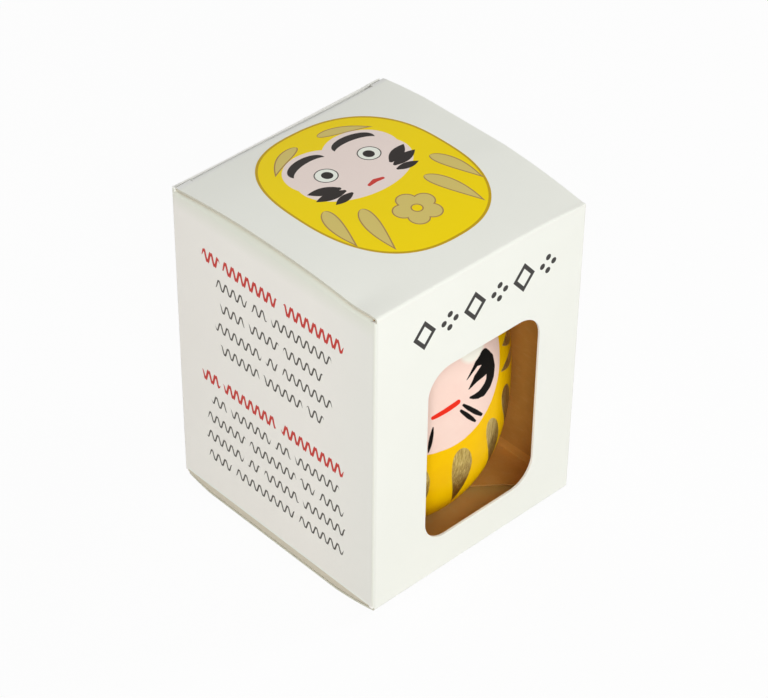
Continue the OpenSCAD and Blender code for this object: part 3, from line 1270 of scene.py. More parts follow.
@dataclass(frozen=True)
class DollPaint(Finish):
    """Yellow satin paint with the traditional face, whiskers and gold strokes, brushed by hand."""

    axis: Point
    foot: float
    name: str = "doll_paint"
    turn: float = -19.0
    girth: float = 27.0
    face_middle: float = 49.5
    face_half: float = 18.5
    face_below: float = 19.9
    face_above: float = 11.5
    face_power: float = 2.35
    yellow: Colour = srgb(252, 203, 0)
    amber: Colour = srgb(243, 184, 0)
    skin: Colour = srgb(250, 222, 208)
    blush: Colour = srgb(246, 212, 198)
    eye: Colour = srgb(248, 246, 232)
    black: Colour = srgb(15, 12, 10)
    red: Colour = srgb(236, 48, 30)
    gold: Colour = srgb(206, 180, 100)
    bright_gold: Colour = srgb(246, 234, 184)
    dark_gold: Colour = srgb(148, 114, 40)

    def dress(self, net: Net) -> Wire:
        """Paints from the ground colour up: yellow, gold strokes, face, eyes, black and red.

        Args:
            net: The material's nodes.

        Returns:
            The shader.
        """
        place = net.place()
        own = place - (*self.axis, self.foot)
        wobble = net.noise(own, 0.55, detail=3.0) - 0.5
        brush = net.noise(own, 1.4, detail=4.0, roughness=0.65, stretch=(1.0, 1.0, 0.22))
        lumps = net.noise(own, 0.16, detail=3.0)
        x, y, z = own.parts()
        azimuth = x.angle(-y)
        rough_edge = wobble * 0.5
        belly = Pen(net.vector(azimuth * self.girth, z))
        front, out = self.turned_plane(x, y)
        facing = out.above(0.0)
        fore = Pen(net.vector(front, z))
        mirror = Pen(net.vector(abs(front), z))

        ripe = (lumps * 1.8 - 0.4).clamped() * 0.6 + brush * 0.2
        colour = net.mix(self.yellow, self.amber, ripe)
        gilt = self.strokes(belly, mirror, facing) + rough_edge * 0.6
        leaf = fore.ink(gilt, 0.35)
        grain = net.noise(own, 2.4, detail=5.0, roughness=0.75, stretch=(1.0, 1.0, 0.1))
        broken = (leaf * 1.25 - (grain * 2.4 - 1.35).clamped() * 0.75).clamped()
        # Painted reflection and shade: the gold is darkened towards the bottom of the body, for a
        # sheen bright at the leaves' tops and dark below.
        lean = (0.9 - z / 34.0).clamped() * 0.45
        gold = net.ramp(
            grain - lean, [(0.28, self.dark_gold), (0.5, self.gold), (0.74, self.bright_gold)]
        )
        colour = net.mix(colour, gold, broken)

        face = self.face(front, z) + rough_edge * 0.5
        shown = fore.ink(face, 0.16) * facing
        skin = net.mix(self.skin, self.blush, (lumps * 1.6 - 0.3).clamped())
        colour = net.mix(colour, skin, shown)
        ring = mirror.oval((10.3, 52.3), (4.0, 4.2)) + rough_edge * 0.3
        colour = net.mix(colour, self.eye, fore.ink(ring, 0.9) * facing)
        blacks = self.blacks(fore, mirror) + rough_edge * 0.35
        ink = fore.ink(blacks, 0.14) * facing
        colour = net.mix(colour, self.black, ink)
        mouth = fore.stroke((-0.9, 39.3), (5.15, 41.0), 0.5, 0.62, belly=0.1) + rough_edge * 0.3
        lips = fore.ink(mouth, 0.14) * facing
        colour = net.mix(colour, self.red, lips)

        metal = broken * (1.0 - shown)
        relief = lumps * 0.5 + brush * 0.2 + metal * (0.15 + grain * 0.16) + ink * 0.08
        roughness = 0.42 + 0.12 * (brush - 0.5) + 0.05 * ink - metal * 0.06
        return net.shader(
            colour, roughness, relief, depth=0.16, Metallic=metal * 0.85, Specular_IOR_Level=0.03
        )

    def turned_plane(self, x: Wire, y: Wire) -> Tuple[Wire, Wire]:
        """Across the face and out from it, for the way that the face looks."""
        cos, sin = math.cos(math.radians(self.turn)), math.sin(math.radians(self.turn))
        return x * cos + y * sin, x * sin - y * cos

    def face(self, across: Wire, z: Wire) -> Wire:
        """A superellipse that is taller below its middle than above it.

        Args:
            across: Place across the face.
            z: Height above the foot.

        Returns:
            Its outline, scaled to millimetres by a size between its half-axes.
        """
        size, p = 17.0, self.face_power
        up = z - self.face_middle
        tall = self.face_below - up.above(0.0) * (self.face_below - self.face_above)
        reach = (abs(across) * (1.0 / self.face_half)) ** p + (abs(up) / tall) ** p
        return (reach ** (1.0 / p) - 1.0) * size

    def strokes(self, belly: Pen, mirror: Pen, facing: Wire) -> Wire:
        """Gold leaves that hang below the face and spread out at its sides and over the hood.

        Each hanging leaf is given by the angle and height of its top and of its tip, and its
        width. Each spreading one has its right end between two heights and its tip on the left.

        Args:
            belly: Pen of the unrolled body.
            mirror: Pen of the plane before the face, doubled about its middle.
            facing: 1 on the side of the face, and 0 behind.

        Returns:
            Their common outline.
        """
        turn, behind = self.turn, 50.0
        per_degree = self.girth * math.pi / 180.0
        leaves = []
        hanging = [
            (-98, 30.0, -101, 12.0, 4.8), (-74, 29.5, -80, 10.0, 5.0), (-50, 28.5, -56, 9.0, 5.2),
            (-28.2, 27.0, -26.0, 8.0, 5.0), (-6.6, 28.0, -2.2, 8.4, 5.4),
            (11.7, 30.7, 25.0, 10.4, 4.7), (25.0, 35.0, 42.0, 15.0, 5.2),
            (52, 32.0, 58, 12.0, 5.0), (76, 31.0, 80, 12.0, 5.0), (100, 31.0, 102, 12.0, 5.0),
            (124, 31.0, 125, 12.0, 5.0), (148, 31.0, 148, 12.0, 5.0), (172, 31.0, 171, 12.0, 5.0),
            (-164, 31.0, -164, 12.0, 5.0), (-142, 31.0, -143, 12.0, 5.0),
            (-120, 31.0, -122, 12.0, 5.0),
        ]
        for degrees, top, tip_degrees, tip, width in hanging:
            start = (degrees * per_degree, top)
            leaves.append(belly.leaf(start, (tip_degrees * per_degree, tip), width, bend=0.5))
        spreading = [
            (44.0, 38.0, 39.2, 22.3, 40.3), (46.0, 42.6, 42.9, 28.2, 45.1),
            (48.0, 49.4, 50.4, 29.5, 50.6),
        ]
        for side in (1.0, -1.0):
            for right, low, high, left, tip in spreading:
                start = (turn + side * (right - turn)) * per_degree
                end = (turn + side * (left - turn)) * per_degree
                leaves.append(belly.leaf((start, (low + high) / 2.0), (end, tip), 3.0))
        hood = mirror.leaf((2.2, 64.6), (14.2, 59.6), 3.0, bend=0.6) + (1.0 - facing) * behind
        return joined(leaves + [hood])

    def blacks(self, fore: Pen, mirror: Pen) -> Wire:
        """Brows, pupils, clawed cheek whiskers and the small strokes about the mouth.

        Args:
            fore: Pen of the plane before the face.
            mirror: Pen of the same plane, doubled about its middle.

        Returns:
            Their common outline.
        """
        claw = [
            (7.75, 45.15, 0.1), (10.8, 47.3, 0.62), (13.1, 47.45, 1.56), (14.3, 45.6, 1.62),
            (14.75, 43.6, 1.42), (14.4, 41.9, 1.36), (13.4, 40.65, 1.34), (12.2, 40.05, 1.3),
            (10.9, 39.95, 0.95), (9.4, 40.3, 0.58), (8.4, 40.65, 0.28),
        ]
        barb = [(8.15, 42.85, 0.16), (10.5, 44.3, 1.0), (13.8, 45.2, 1.8)]
        whisker = [
            mirror.stroke(start[:2], end[:2], start[2], end[2])
            for line in (claw, barb)
            for start, end in zip(line[:-1], line[1:])
        ]
        brow = [
            mirror.stroke((13.0, 58.4), (8.0, 58.9), 1.4, 1.2),
            mirror.stroke((9.0, 59.3), (3.9, 58.9), 0.9, 0.1),
            mirror.stroke((9.0, 58.4), (4.3, 57.5), 0.8, 0.1),
        ]
        small = [
            fore.stroke((6.5, 39.7), (11.6, 34.2), 0.32, 0.36, belly=0.2),
            fore.stroke((5.8, 38.6), (9.8, 33.6), 0.3, 0.26, belly=0.24),
            fore.stroke((-0.95, 36.8), (-1.9, 30.2), 0.16, 0.12, belly=0.34),
            fore.stroke((-3.4, 37.4), (-6.4, 31.8), 0.2, 0.16, belly=0.3),
        ]
        pupil = mirror.oval((9.2, 54.0), (1.7, 2.3))
        return joined(whisker + brow + small + [pupil])


@dataclass(frozen=True)
class RawPulp(Finish):
    """Unpainted papier-mache: layers of torn paper and paste."""

    name: str = "raw_pulp"
    light: Colour = srgb(206, 194, 172)
    dark: Colour = srgb(170, 154, 128)

    def dress(self, net: Net) -> Wire:
        """Torn patches with ragged borders, and fibre over them.

        Args:
            net: The material's nodes.

        Returns:
            The shader.
        """
        place = net.place()
        torn = net.noise(place, 0.14, detail=6.0, roughness=0.7)
        fibre = net.noise(place, 1.8, detail=4.0, roughness=0.7)
        colour = net.mix(self.light, self.dark, (torn * 2.4 - 0.7).clamped() * 0.7 + fibre * 0.2)
        return net.shader(colour, 0.88 + 0.1 * (fibre - 0.5), torn * 0.6 + fibre * 0.4, depth=0.1)


@dataclass(frozen=True)
class RawClay(Finish):
    """Unglazed clay, fired pale, with pits and sand."""

    name: str = "raw_clay"
    light: Colour = srgb(190, 172, 148)
    dark: Colour = srgb(150, 130, 104)

    def dress(self, net: Net) -> Wire:
        """Clouded clay with fine sand and dark pits.

        Args:
            net: The material's nodes.

        Returns:
            The shader.
        """
        place = net.place()
        cloud = net.noise(place, 0.2, detail=5.0)
        sand = net.noise(place, 3.0, detail=3.0, roughness=0.8)
        pits = net.specks(place, 0.7, 0.24)
        colour = net.mix(self.light, self.dark, (cloud * 1.8 - 0.5).clamped() * 0.6 + sand * 0.25)
        colour = net.mix(colour, self.dark, pits)
        return net.shader(colour, 0.9 + 0.1 * (sand - 0.5), sand * 0.4 - pits * 0.6, depth=0.12)


# ---- Carton ----


class End(Enum):
    """Which end of the carton a closure shuts; the value begins its nodes' names."""

    TOP = "top"
    BOTTOM = "bottom"


@dataclass(frozen=True)
class BoardFinishes:
    """What the two faces and the cut edge of a board wear."""

    outside: Finish = CoatedBoard()
    inside: Finish = KraftInside()
    cut: Finish = CutEdge()

    def slots(self) -> Tuple[Finish, Finish, Finish]:
        """The finishes in the order of Side."""
        return self.outside, self.inside, self.cut


@dataclass
class CartonSizes:
    """Sizes that all the board's pieces share, in millimetres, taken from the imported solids."""

    thickness: float = 0.5
    fold: float = 1.2
    upright: float = 0.6
    post_depth: float = 1.0
    half_w: float = field(init=False)
    half_d: float = field(init=False)
    wall_low: float = field(init=False)
    wall_high: float = field(init=False)
    mid_z: float = field(init=False)
    post_y: float = field(init=False)

    def __post_init__(self) -> None:
        """Reads the boxes of the walls."""
        low, high = box_mm("front_panel")
        self.half_w = -float(box_mm("left_panel")[0][Axis.X])
        self.half_d = -float(low[Axis.Y])
        self.wall_low, self.wall_high = float(low[Axis.Z]), float(high[Axis.Z])
        self.mid_z = (self.wall_low + self.wall_high) / 2.0
        self.post_y = self.half_d - self.post_depth


@dataclass
class Walls:
    """The four walls and the glue flap, with rounded upright creases and the window.

    Sizes are in millimetres. Ears are the strips of wall that no flap covers and that stand on
    past its ends; a post is such a strip at a back corner.
    """

    sizes: CartonSizes
    window: Point = (32.7, 47.0)
    window_rise: float = 9.8
    window_shift: float = 1.4
    window_corner: float = 6.4
    ring_shares: Tuple[float, ...] = (0.0, 0.06, 0.2, 0.4, 0.6, 0.8, 1.0)
    front_ear: float = 0.15
    left_ear: float = 0.9
    post: float = 1.1
    post_width: float = 4.8
    back_rise: float = 0.95
    rise_start: float = -15.0
    rise_run: float = 42.0
    rise_depth: float = 6.0
    glue_slant: float = 20.0
    crease_steps: int = 8
    ray_steps: int = 12
    side_steps: int = 11
    glue_rows: int = 19
    pitch: float = 3.0

    def build(self) -> None:
        """Builds and dresses the walls and the glue flap."""
        title = CoatedBoard("coated_front", TitleMarks(), FRONT_PAINTED_SHADE)
        # The left wall wears a warmer copy of the white coat, painted for how that face is lit.
        notes = CoatedBoard(
            "coated_left", RuledNotes(), LEFT_PAINTED_SHADE_AND_HIGHLIGHT, srgb(246, 243, 235), srgb(241, 237, 229)
        )
        plain = BoardFinishes(cut=WALL_EDGE)
        self.finish("front_panel", self.front(), BoardFinishes(title, cut=WALL_EDGE))
        for node, path, finishes in (
            ("left_panel", self.left_path(), BoardFinishes(notes, cut=WALL_EDGE)),
            ("right_panel", self.right_path(), plain),
            ("back_panel", self.back_path(), BoardFinishes(CoatedBoard(), KRAFT_BACK, WALL_EDGE)),
        ):
            self.finish(node, self.wall(node, path), finishes)
        self.finish("glue_flap", self.glue(), plain)

    def finish(self, node: str, patch: Patch, finishes: BoardFinishes) -> None:
        """Stores a piece in place of its node and lets it ride with the carton."""
        place_board(node, patch, self.sizes.thickness, finishes, "carton")

    def corner(self, x: float, y: float, start: float, end: float) -> Path:
        """Half of an upright crease about the corner's centre."""
        return Path.arc((x, y), self.sizes.upright, start, end, self.crease_steps)

    def straight(self, x: float, marks: Sequence[float], way: float) -> Path:
        """A side wall's plan through the given places along y.

        Args:
            x: Where the wall's outer face stands.
            marks: Places along y that must be there, in order.
            way: 1 for a wall that looks along +X, and -1 for one that looks along -X.

        Returns:
            The plan, in steps of about the pitch.
        """
        pieces = [
            Path.line((x, a), (x, b), (way, 0.0), max(1, round(abs(b - a) / self.pitch)))
            for a, b in zip(marks[:-1], marks[1:])
        ]
        return pieces[0].then(*pieces[1:])

    def left_path(self) -> Path:
        """Plan of the left wall, from the middle of one crease to the middle of the other.

        Returns:
            The plan, from the back to the front.
        """
        s = self.sizes
        x, y = -s.half_w + s.upright, s.half_d - s.upright
        wall = self.straight(-s.half_w, (y, s.post_y, -s.half_d + s.fold, -y), -1.0)
        return self.corner(x, y, 135, 180).then(wall, self.corner(x, -y, 180, 225))

    def right_path(self) -> Path:
        """Plan of the right wall, from its front crease to its cut edge.

        Returns:
            The plan, from the front to the back.
        """
        s = self.sizes
        x, y = s.half_w - s.upright, -s.half_d + s.upright
        far = float(box_mm("right_panel")[1][Axis.Y])
        wall = self.straight(s.half_w, (y, -s.half_d + s.fold, s.post_y, far), 1.0)
        return self.corner(x, y, -45, 0).then(wall)

    def back_path(self) -> Path:
        """Plan of the back wall, from the glue flap's crease to the left wall's.

        Returns:
            The plan, from the right to the left, with a point where the right post ends.
        """
        s = self.sizes
        x, y = s.half_w - s.thickness - s.upright, s.half_d - s.upright
        left, post = -s.half_w + s.upright, s.half_w - self.post_width
        return self.corner(x, y, 45, 90).then(
            Path.line((x, s.half_d), (post, s.half_d), (0.0, 1.0), steps=3),
            Path.line((post, s.half_d), (left, s.half_d), (0.0, 1.0), steps=20),
            self.corner(left, y, 90, 135),
        )

    def wall(self, node: str, path: Path) -> Patch:
        """A plan carried up between the node's lowest and highest points, with its ears.

        Args:
            node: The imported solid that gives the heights.
            path: The wall's plan.

        Returns:
            The wall's outer face.
        """
        low, high = (float(corner[Axis.Z]) for corner in box_mm(node))
        ears = self.ears(node, path, high)
        sizes = np.unique(ears[ears > 0.0])
        heights = steps_through((low, high), self.pitch)
        heights = np.concatenate([low - sizes[::-1], heights, high + sizes])
        points, normals = lay(path, (Axis.X, Axis.Y, Axis.Z), heights)
        if node == "back_panel":
            points[..., Axis.Z] += self.lift(points[..., Axis.X], points[..., Axis.Z] - high)
        middles = (heights[:-1] + heights[1:]) / 2.0
        keep = (middles - high < ears[:, None]) & (low - middles < ears[:, None])
        return Patch.grid(points, normals, keep)

    def ears(self, node: str, path: Path, high: float) -> Array:
        """How far each strip of a wall stands on past the wall's two ends.

        Args:
            node: The wall's node.
            path: The wall's plan.
            high: Height of the wall's top edge.

        Returns:
            The ear of each strip, less what the wall is taller than the left one.
        """
        s = self.sizes
        x, y = ((path.points[1:] + path.points[:-1]) / 2.0).T
        ahead = self.left_ear if node == "left_panel" else self.front_ear
        ears = np.where(y < -s.half_d + s.fold, ahead, np.where(y > s.post_y, self.post, 0.0))
        if node == "back_panel":
            ears[x > -s.half_w + s.upright] = 0.0
            ears[x > s.half_w - self.post_width] = self.post
        level = high - float(box_mm("left_panel")[1][Axis.Z])
        return np.where(ears > level, ears - level, 0.0)

    def lift(self, x: Array, over: Array) -> Array:
        """How far the back wall's top edge rises towards the right.

        The rise grows evenly with x over its run, and fades over a depth below the edge.

        Args:
            x: Place across the wall.
            over: Height over its top edge.

        Returns:
            What is added to the height.
        """
        share = np.clip((x - self.rise_start) / self.rise_run, 0.0, 1.0)
        return self.back_rise * share * np.clip(over / self.rise_depth + 1.0, 0.0, 1.0)

    def glue(self) -> Patch:
        """The glue flap: its height shrinks towards its free edge by the slant of its ends.

        Returns:
            The flap's outer face.
        """
        s = self.sizes
        low, high = box_mm("glue_flap")
        x, y = s.half_w - s.thickness - s.upright, s.half_d - s.upright
        side, far = x + s.upright, float(low[Axis.Y])
        wall = Path.line((side, y), (side, far), (1.0, 0.0), steps=6)
        path = self.corner(x, y, 45, 0).then(wall)
        slant = math.tan(math.radians(self.glue_slant))
        drop = (path.points[0, 1] - path.points[:, 1, None]) * slant
        share = np.linspace(0.0, 1.0, self.glue_rows + 1)
        heights = (low[Axis.Z] + drop) * (1.0 - share) + (high[Axis.Z] - drop) * share
        return Patch.grid(*lay(path, (Axis.X, Axis.Y, Axis.Z), heights))

    def front(self) -> Patch:
        """The window wall.

        Rings go from the window's edge to the edge of the flat: each ring point is
        inner (1 - t) + outer t. Strips of creased board join on at both sides.

        Returns:
            The wall's outer face.
        """
        s = self.sizes
        inner, outer = self.window_ring()
        shares = np.array(self.ring_shares)[:, None, None]
        ring = inner[None] * (1.0 - shares) + outer[None] * shares
        ring = np.concatenate([ring, ring[:, :1]], axis=1)
        points = np.stack([ring[..., 0], np.full(ring.shape[:2], -s.half_d), ring[..., 1]], -1)
        normals = np.broadcast_to(np.array([0.0, -1.0, 0.0]), points.shape)
        patch = Patch.grid(points, normals)
        x, y = s.half_w - s.upright, -s.half_d + s.upright
        for side in (-1.0, 1.0):
            heights = np.unique(np.round(outer[np.isclose(outer[:, 0], side * x), 1], 6))
            crease = self.corner(side * x, y, 270.0, 270.0 + side * 45.0)
            patch = patch + Patch.grid(*lay(crease, (Axis.X, Axis.Y, Axis.Z), heights))
        return patch

    def window_ring(self) -> Tuple[Array, Array]:
        """Points round the window, and the points of the flat's edge that they fan out to.

        Along a straight side the partner lies straight across. Round a corner it lies where the
        ray from the corner's centre meets the flat's edge, one ray going to the flat's corner.

        Returns:
            The points round the window and their partners, both (n, 2).
        """
        s, r, steps = self.sizes, self.window_corner, self.ray_steps + 1
        middle_z = s.wall_low - s.fold + self.window_rise + self.window[1] / 2.0
        centre = np.array([self.window_shift, middle_z])
        reach = np.array(self.window) / 2.0 - r
        reach_x = s.half_w - s.upright
        limits = np.array([[-reach_x, s.wall_low], [reach_x, s.wall_high]])
        signs = np.array([(1, 1), (-1, 1), (-1, -1), (1, -1)])
        inner, outer = [], []
        for quarter, (sign, following) in enumerate(zip(signs, np.roll(signs, -1, axis=0))):
            hub, start = centre + sign * reach, quarter * 90.0
            far = np.where(sign > 0, limits[1], limits[0])
            aim = math.degrees(math.atan2(*(far - hub)[::-1])) % 360.0
            halves = np.linspace(start, aim, steps)[:-1], np.linspace(aim, start + 90.0, steps)
            angles = np.radians(np.concatenate(halves))
            rays = np.stack([np.cos(angles), np.sin(angles)], axis=-1)
            with np.errstate(divide="ignore", invalid="ignore"):
                lengths = (far - hub) / rays
            lengths = np.where(np.isfinite(lengths) & (lengths > 0), lengths, np.inf)
            run = centre + following * reach - hub
            side = np.linspace(0.0, 1.0, self.side_steps + 1)[1:-1, None] * run
            for ring, lengths_out in ((inner, r), (outer, lengths.min(axis=1)[:, None])):
                corner = hub + lengths_out * rays
                ring.extend([corner, corner[-1] + side])
        return np.vstack(inner), np.vstack(outer)


def place_board(
    node: str,
    patch: Patch,
    thickness: float,
    finishes: BoardFinishes,
    body: str,
    crease: Optional[Tuple[Array, Array]] = None,
) -> None:
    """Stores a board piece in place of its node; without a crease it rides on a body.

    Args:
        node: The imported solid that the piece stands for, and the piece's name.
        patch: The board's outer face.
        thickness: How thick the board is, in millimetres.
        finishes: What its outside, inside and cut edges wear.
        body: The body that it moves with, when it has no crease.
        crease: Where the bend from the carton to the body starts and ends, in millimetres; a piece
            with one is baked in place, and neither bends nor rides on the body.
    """
    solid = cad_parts[node]
    solid.name = "solid_" + node
    piece = sheet(node, patch, thickness, finishes.slots())
    if crease is None:
        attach(piece, body)
    else:
        start, end = (tuple(float(v) for v in point * MM) for point in crease)
        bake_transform(piece)
    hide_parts(node)
    log.info("%s: %d faces on body %s", node, len(piece.data.polygons), body)


@dataclass
class Closure:
    """A lid with its tuck flap, and the two dust flaps under it, at one end of the carton.

    Both closures are worked out at the top, and the bottom one is mirrored. Sizes are in
    millimetres and angles in degrees. flat is the length of the lid's level crown, roll is
    where the bend of a lid starts and ends, from the foot of its front crease, and sags is how
    far the front left, back left, front right and back right corners of the lid have settled.
    """

    sizes: CartonSizes
    end: End
    flat: float
    sags: Sags
    dust_fold: float = 1.2
    shoulder: float = 4.0
    slit: float = 0.12
    shoulder_gap: float = 1.0
    tuck_length: float = 12.0
    tuck_lean: float = 9.0
    tuck_corner: float = 6.0
    ear_drop: float = 2.5
    ear_rows: int = 3
    plate_rows: int = 8
    corner_steps: int = 13
    dust_slant: float = 38.0
    dust_taper: float = 8.0
    dust_fade: float = 12.0
    dust_ear: float = 1.5
    dust_crowding: float = 1.5
    dust_rows: int = 30
    dust_columns: int = 40
    settle_run: float = 8.0
    crease: float = 0.7
    roll: Tuple[Point3, Point3] = ((0.0, 0.0, 0.2), (0.0, 3.8, 2.5))
    pitch: float = 2.0
    crease_steps: int = 12
    bow: float = field(init=False)
    bend_z: float = field(init=False)
    lid_half: float = field(init=False)
    front_y: float = field(init=False)
    middle_y: float = field(init=False)
    back_y: float = field(init=False)
    run: float = field(init=False)
    radius: float = field(init=False)
    turn: float = field(init=False)

    def __post_init__(self) -> None:
        """Reads the top closure's boxes and works out the arc of the bow.

        An arc that runs in by run and rises by bow has the radius (run^2 + bow^2) / (2 bow).
        """
        s = self.sizes
        low, high = box_mm("top_lid")
        self.bend_z, self.lid_half = float(low[Axis.Z]), float(high[Axis.X])
        self.bow = float(high[Axis.Z]) - self.bend_z - s.fold
        self.front_y = -s.half_d + s.fold
        self.back_y = float(box_mm("top_tuck_flap")[1][Axis.Y]) - s.fold
        self.middle_y = (self.front_y + self.back_y) / 2.0
        self.run = (self.back_y - self.front_y - self.flat) / 2.0
        self.radius = (self.run**2 + self.bow**2) / (2.0 * self.bow)
        self.turn = math.degrees(math.asin(self.run / self.radius))

    def build(self) -> None:
        """Builds and dresses the lid, its tuck flap and the dust flaps."""
        if self.end is End.TOP:
            # The top flaps get the lid's painted shade and shadow.
            picture, wear = LidPicture(), (HIGH_PAINTED_SHADE, HIGH_SHADE)
            under_lid = under_flaps = KraftInside()
        else:
            # The bottom flaps get painted shade on their creases, and the bottom insides paler
            # kraft copies that paint light.
            picture, wear = None, (LOW_PAINTED_SHADE,)
            under_lid, under_flaps = KRAFT_REST_PAINTED_LIGHT, KRAFT_FLOOR_PAINTED_LIGHT
        coat = "coated_" + self.end.value
        # Lids and tucks get painted shade at their back creases.
        lid = CoatedBoard(coat + "_lid", picture, (TUCK_PAINTED_SHADE,))
        tuck = CoatedBoard("coated_tuck", wear=(TUCK_PAINTED_SHADE,))
        flap = BoardFinishes(CoatedBoard(coat + "_flap", wear=wear), under_flaps, FLAP_EDGE_PAINTED_SHADE)
        self.finish("_lid", self.lid(), BoardFinishes(lid, under_lid), creased=True)
        self.finish("_tuck_flap", self.tuck(), BoardFinishes(tuck))
        self.finish("_dust_flap_left", self.dust(-1.0), flap)
        self.finish("_dust_flap_right", self.dust(1.0), flap)

    def finish(
        self, ending: str, patch: Patch, finishes: BoardFinishes, creased: bool = False
    ) -> None:
        """Stores a piece at this closure's end of the carton.

        Args:
            ending: What follows the end's name in the node's name.
            patch: The board's outer face, at the top.
            finishes: What its outside, inside and cut edges wear.
            creased: Whether it lies across the front crease; such a piece is baked in place, with
                no bend and no body.
        """
        s, node = self.sizes, self.end.value + ending
        crease = np.array([[0.0, -s.half_d, self.bend_z]] * 2) + self.roll
        if self.end is End.BOTTOM:
            patch = patch.mirrored(Axis.Z, s.mid_z)
            crease[:, Axis.Z] = 2.0 * s.mid_z - crease[:, Axis.Z]
        bend = tuple(crease) if creased else None
        place_board(node, patch, s.thickness, finishes, node, bend)

    def lid_path(self) -> Path:
        """Side view of the lid: front crease, bow, flat crown, and bow down to the tuck crease.

        The front crease is a small arc that touches the wall and the line on which the bow's
        first point goes on ahead.

        Returns:
            The side view, from the wall's top edge to the start of the tuck crease.
        """
        s = self.sizes
        out, hub_z = self.radius + s.fold, self.bend_z + self.bow - self.radius
        front, back = ((self.middle_y + side * self.flat / 2.0, hub_z) for side in (-1.0, 1.0))
        steep, half_way = 90.0 + self.turn, 90.0 + 0.8 * self.turn
        bow = Path.arc(front, out, steep, half_way, steps=16)
        bow = bow.then(Path.arc(front, out, half_way, 90.0, steps=14))
        first, normal = bow.points[0], bow.normals[0]
        ahead, level = ahead_of(normal), bow.points[-1]
        short = (-s.half_d + self.crease * (1.0 + normal[0]) - first[0]) / ahead[0]
        knee = first + short * ahead - self.crease * normal
        foot = (-s.half_d, self.bend_z)
        return Path.line(foot, (-s.half_d, float(knee[1])), (-1.0, 0.0), steps=1).then(
            Path.arc(tuple(knee), self.crease, 180.0, steep, self.crease_steps),
            Path.line(knee + self.crease * normal, first, tuple(normal), steps=2),
            bow,
            Path.line(level, level + (self.flat, 0.0), (0.0, 1.0), steps=4),
            Path.arc(back, out, 90.0, 90.0 - self.turn, steps=16),
        )

    def lid(self) -> Patch:
        """The lid's side view carried across, and two shoulders beside the tuck crease.

        Returns:
            The lid's outer face.
        """
        path = self.lid_path()
        rows = len(path.points) - 1
        point, normal, ahead = path.end()
        reach = (self.sizes.half_d - self.shoulder_gap - point[0]) / ahead[0]
        path = path.then(Path.line(point, point + ahead * reach, normal, steps=2))
        notch = self.lid_half - self.shoulder + self.slit
        across = steps_through((-self.lid_half, -notch, notch, self.lid_half), self.pitch)
        points, normals = lay(path, (Axis.Y, Axis.Z, Axis.X), across)
        points[..., Axis.Z] -= self.sag(*np.moveaxis(points, -1, 0))
        keep = np.ones((len(path.points) - 1, len(across) - 1), bool)
        keep[rows:, np.abs(across[:-1] + across[1:]) / 2.0 < notch] = False
        return Patch.grid(points, normals, keep)

    def tuck(self) -> Patch:
        """The tuck flap: the crease at the back of the lid, then a plate that leans in.

        Columns lie closer together towards the rounded corners, where the plate's end follows
        the circle: length - r + r sin a at r (1 - cos a) from the side. Below its ears the
        plate's rows share out what is left of each column.

        Returns:
            The flap's outer face.
        """
        s, r = self.sizes, self.tuck_corner
        centre = (self.back_y, self.bend_z)
        steps, lean = self.crease_steps, self.tuck_lean
        crease = Path.arc(centre, s.fold, 90.0 - self.turn, -lean, steps)
        point, normal, ahead = crease.end()
        half = float(box_mm("top_tuck_flap")[1][Axis.X])
        neck = self.lid_half - self.shoulder
        turns = np.radians(np.linspace(0.0, 90.0, self.corner_steps + 1))
        outer = half - r + r * np.sin(turns)
        right = np.unique(np.round(np.append(outer, neck), 6))
        inner = steps_through((-half + r, half - r), self.pitch)
        across = np.concatenate([-right[::-1], inner[1:-1], right])
        off = np.clip(np.abs(across) - (half - r), 0.0, r)
        ends = self.tuck_length - r + np.sqrt(np.clip(r**2 - off**2, 0.0, None))
        upper = np.linspace(0.0, self.ear_drop, self.ear_rows + 1)[1:, None]
        lower = np.linspace(0.0, 1.0, self.plate_rows + 1)[1:, None]
        down = np.vstack([upper + 0.0 * ends, self.ear_drop + lower * (ends - self.ear_drop)])
        plate = np.stack(
            [across + 0.0 * down, point[0] + ahead[0] * down, point[1] + ahead[1] * down], axis=-1
        )
        plate_normals = np.broadcast_to(np.array([0.0, *normal]), plate.shape)
        points, normals = lay(crease, (Axis.Y, Axis.Z, Axis.X), across)
        points = np.concatenate([points, plate])
        points[..., Axis.Z] -= self.sag(*np.moveaxis(points, -1, 0))
        keep = np.ones((len(points) - 1, len(across) - 1), bool)
        beside = np.abs(across[:-1] + across[1:]) / 2.0 > neck
        keep[: steps + self.ear_rows, beside] = False
        return Patch.grid(points, np.concatenate([normals, plate_normals]), keep)

    def sag(self, x: Array, y: Array, z: Optional[Array] = None) -> Array:
        """How far the lid has settled: each corner's own drop, blended along y, times |x/half|^3.

        With z the drop grows from nothing at the bend line to whole at the crease's top, and
        nothing is lifted past the crown. On the left it is whole only past a short run behind
        the front crease.

        Args:
            x: Places across the lid.
            y: Places along it.
            z: Heights, or None for the drop of the lid's own edge.

        Returns:
            The drop at each place.
        """
        front_left, back_left, front_right, back_right = self.sags
        share = np.clip((y - self.front_y) / (self.back_y - self.front_y), 0.0, 1.0)
        left = front_left * (1.0 - share) + back_left * share
        right = front_right * (1.0 - share) ** 3 + back_right * share
        whole = np.where(x < 0.0, left * eased((y + self.sizes.half_d) / self.settle_run), right)
        whole = whole * np.clip(np.abs(x) / self.lid_half, 0.0, 1.0) ** 3
        if z is None:
            return whole
        whole = whole * np.clip((z - self.bend_z) / self.sizes.fold, 0.0, 1.0)
        return np.maximum(whole, z - self.bend_z - self.bow - self.sizes.fold)

    def swell(self, y: Array) -> Array:
        """How far the lid's inner face stands above its height at the crease.

        Args:
            y: Places along the lid.

        Returns:
            The bow's height, the root of R^2 less the square of the place's distance from the
            level crown, less what it is at the crease.
        """
        inner = self.radius + self.sizes.fold - self.sizes.thickness
        off = np.clip(np.abs(y - self.middle_y) - self.flat / 2.0, 0.0, self.run)
        return np.sqrt(inner**2 - off**2) - math.sqrt(inner**2 - self.run**2)

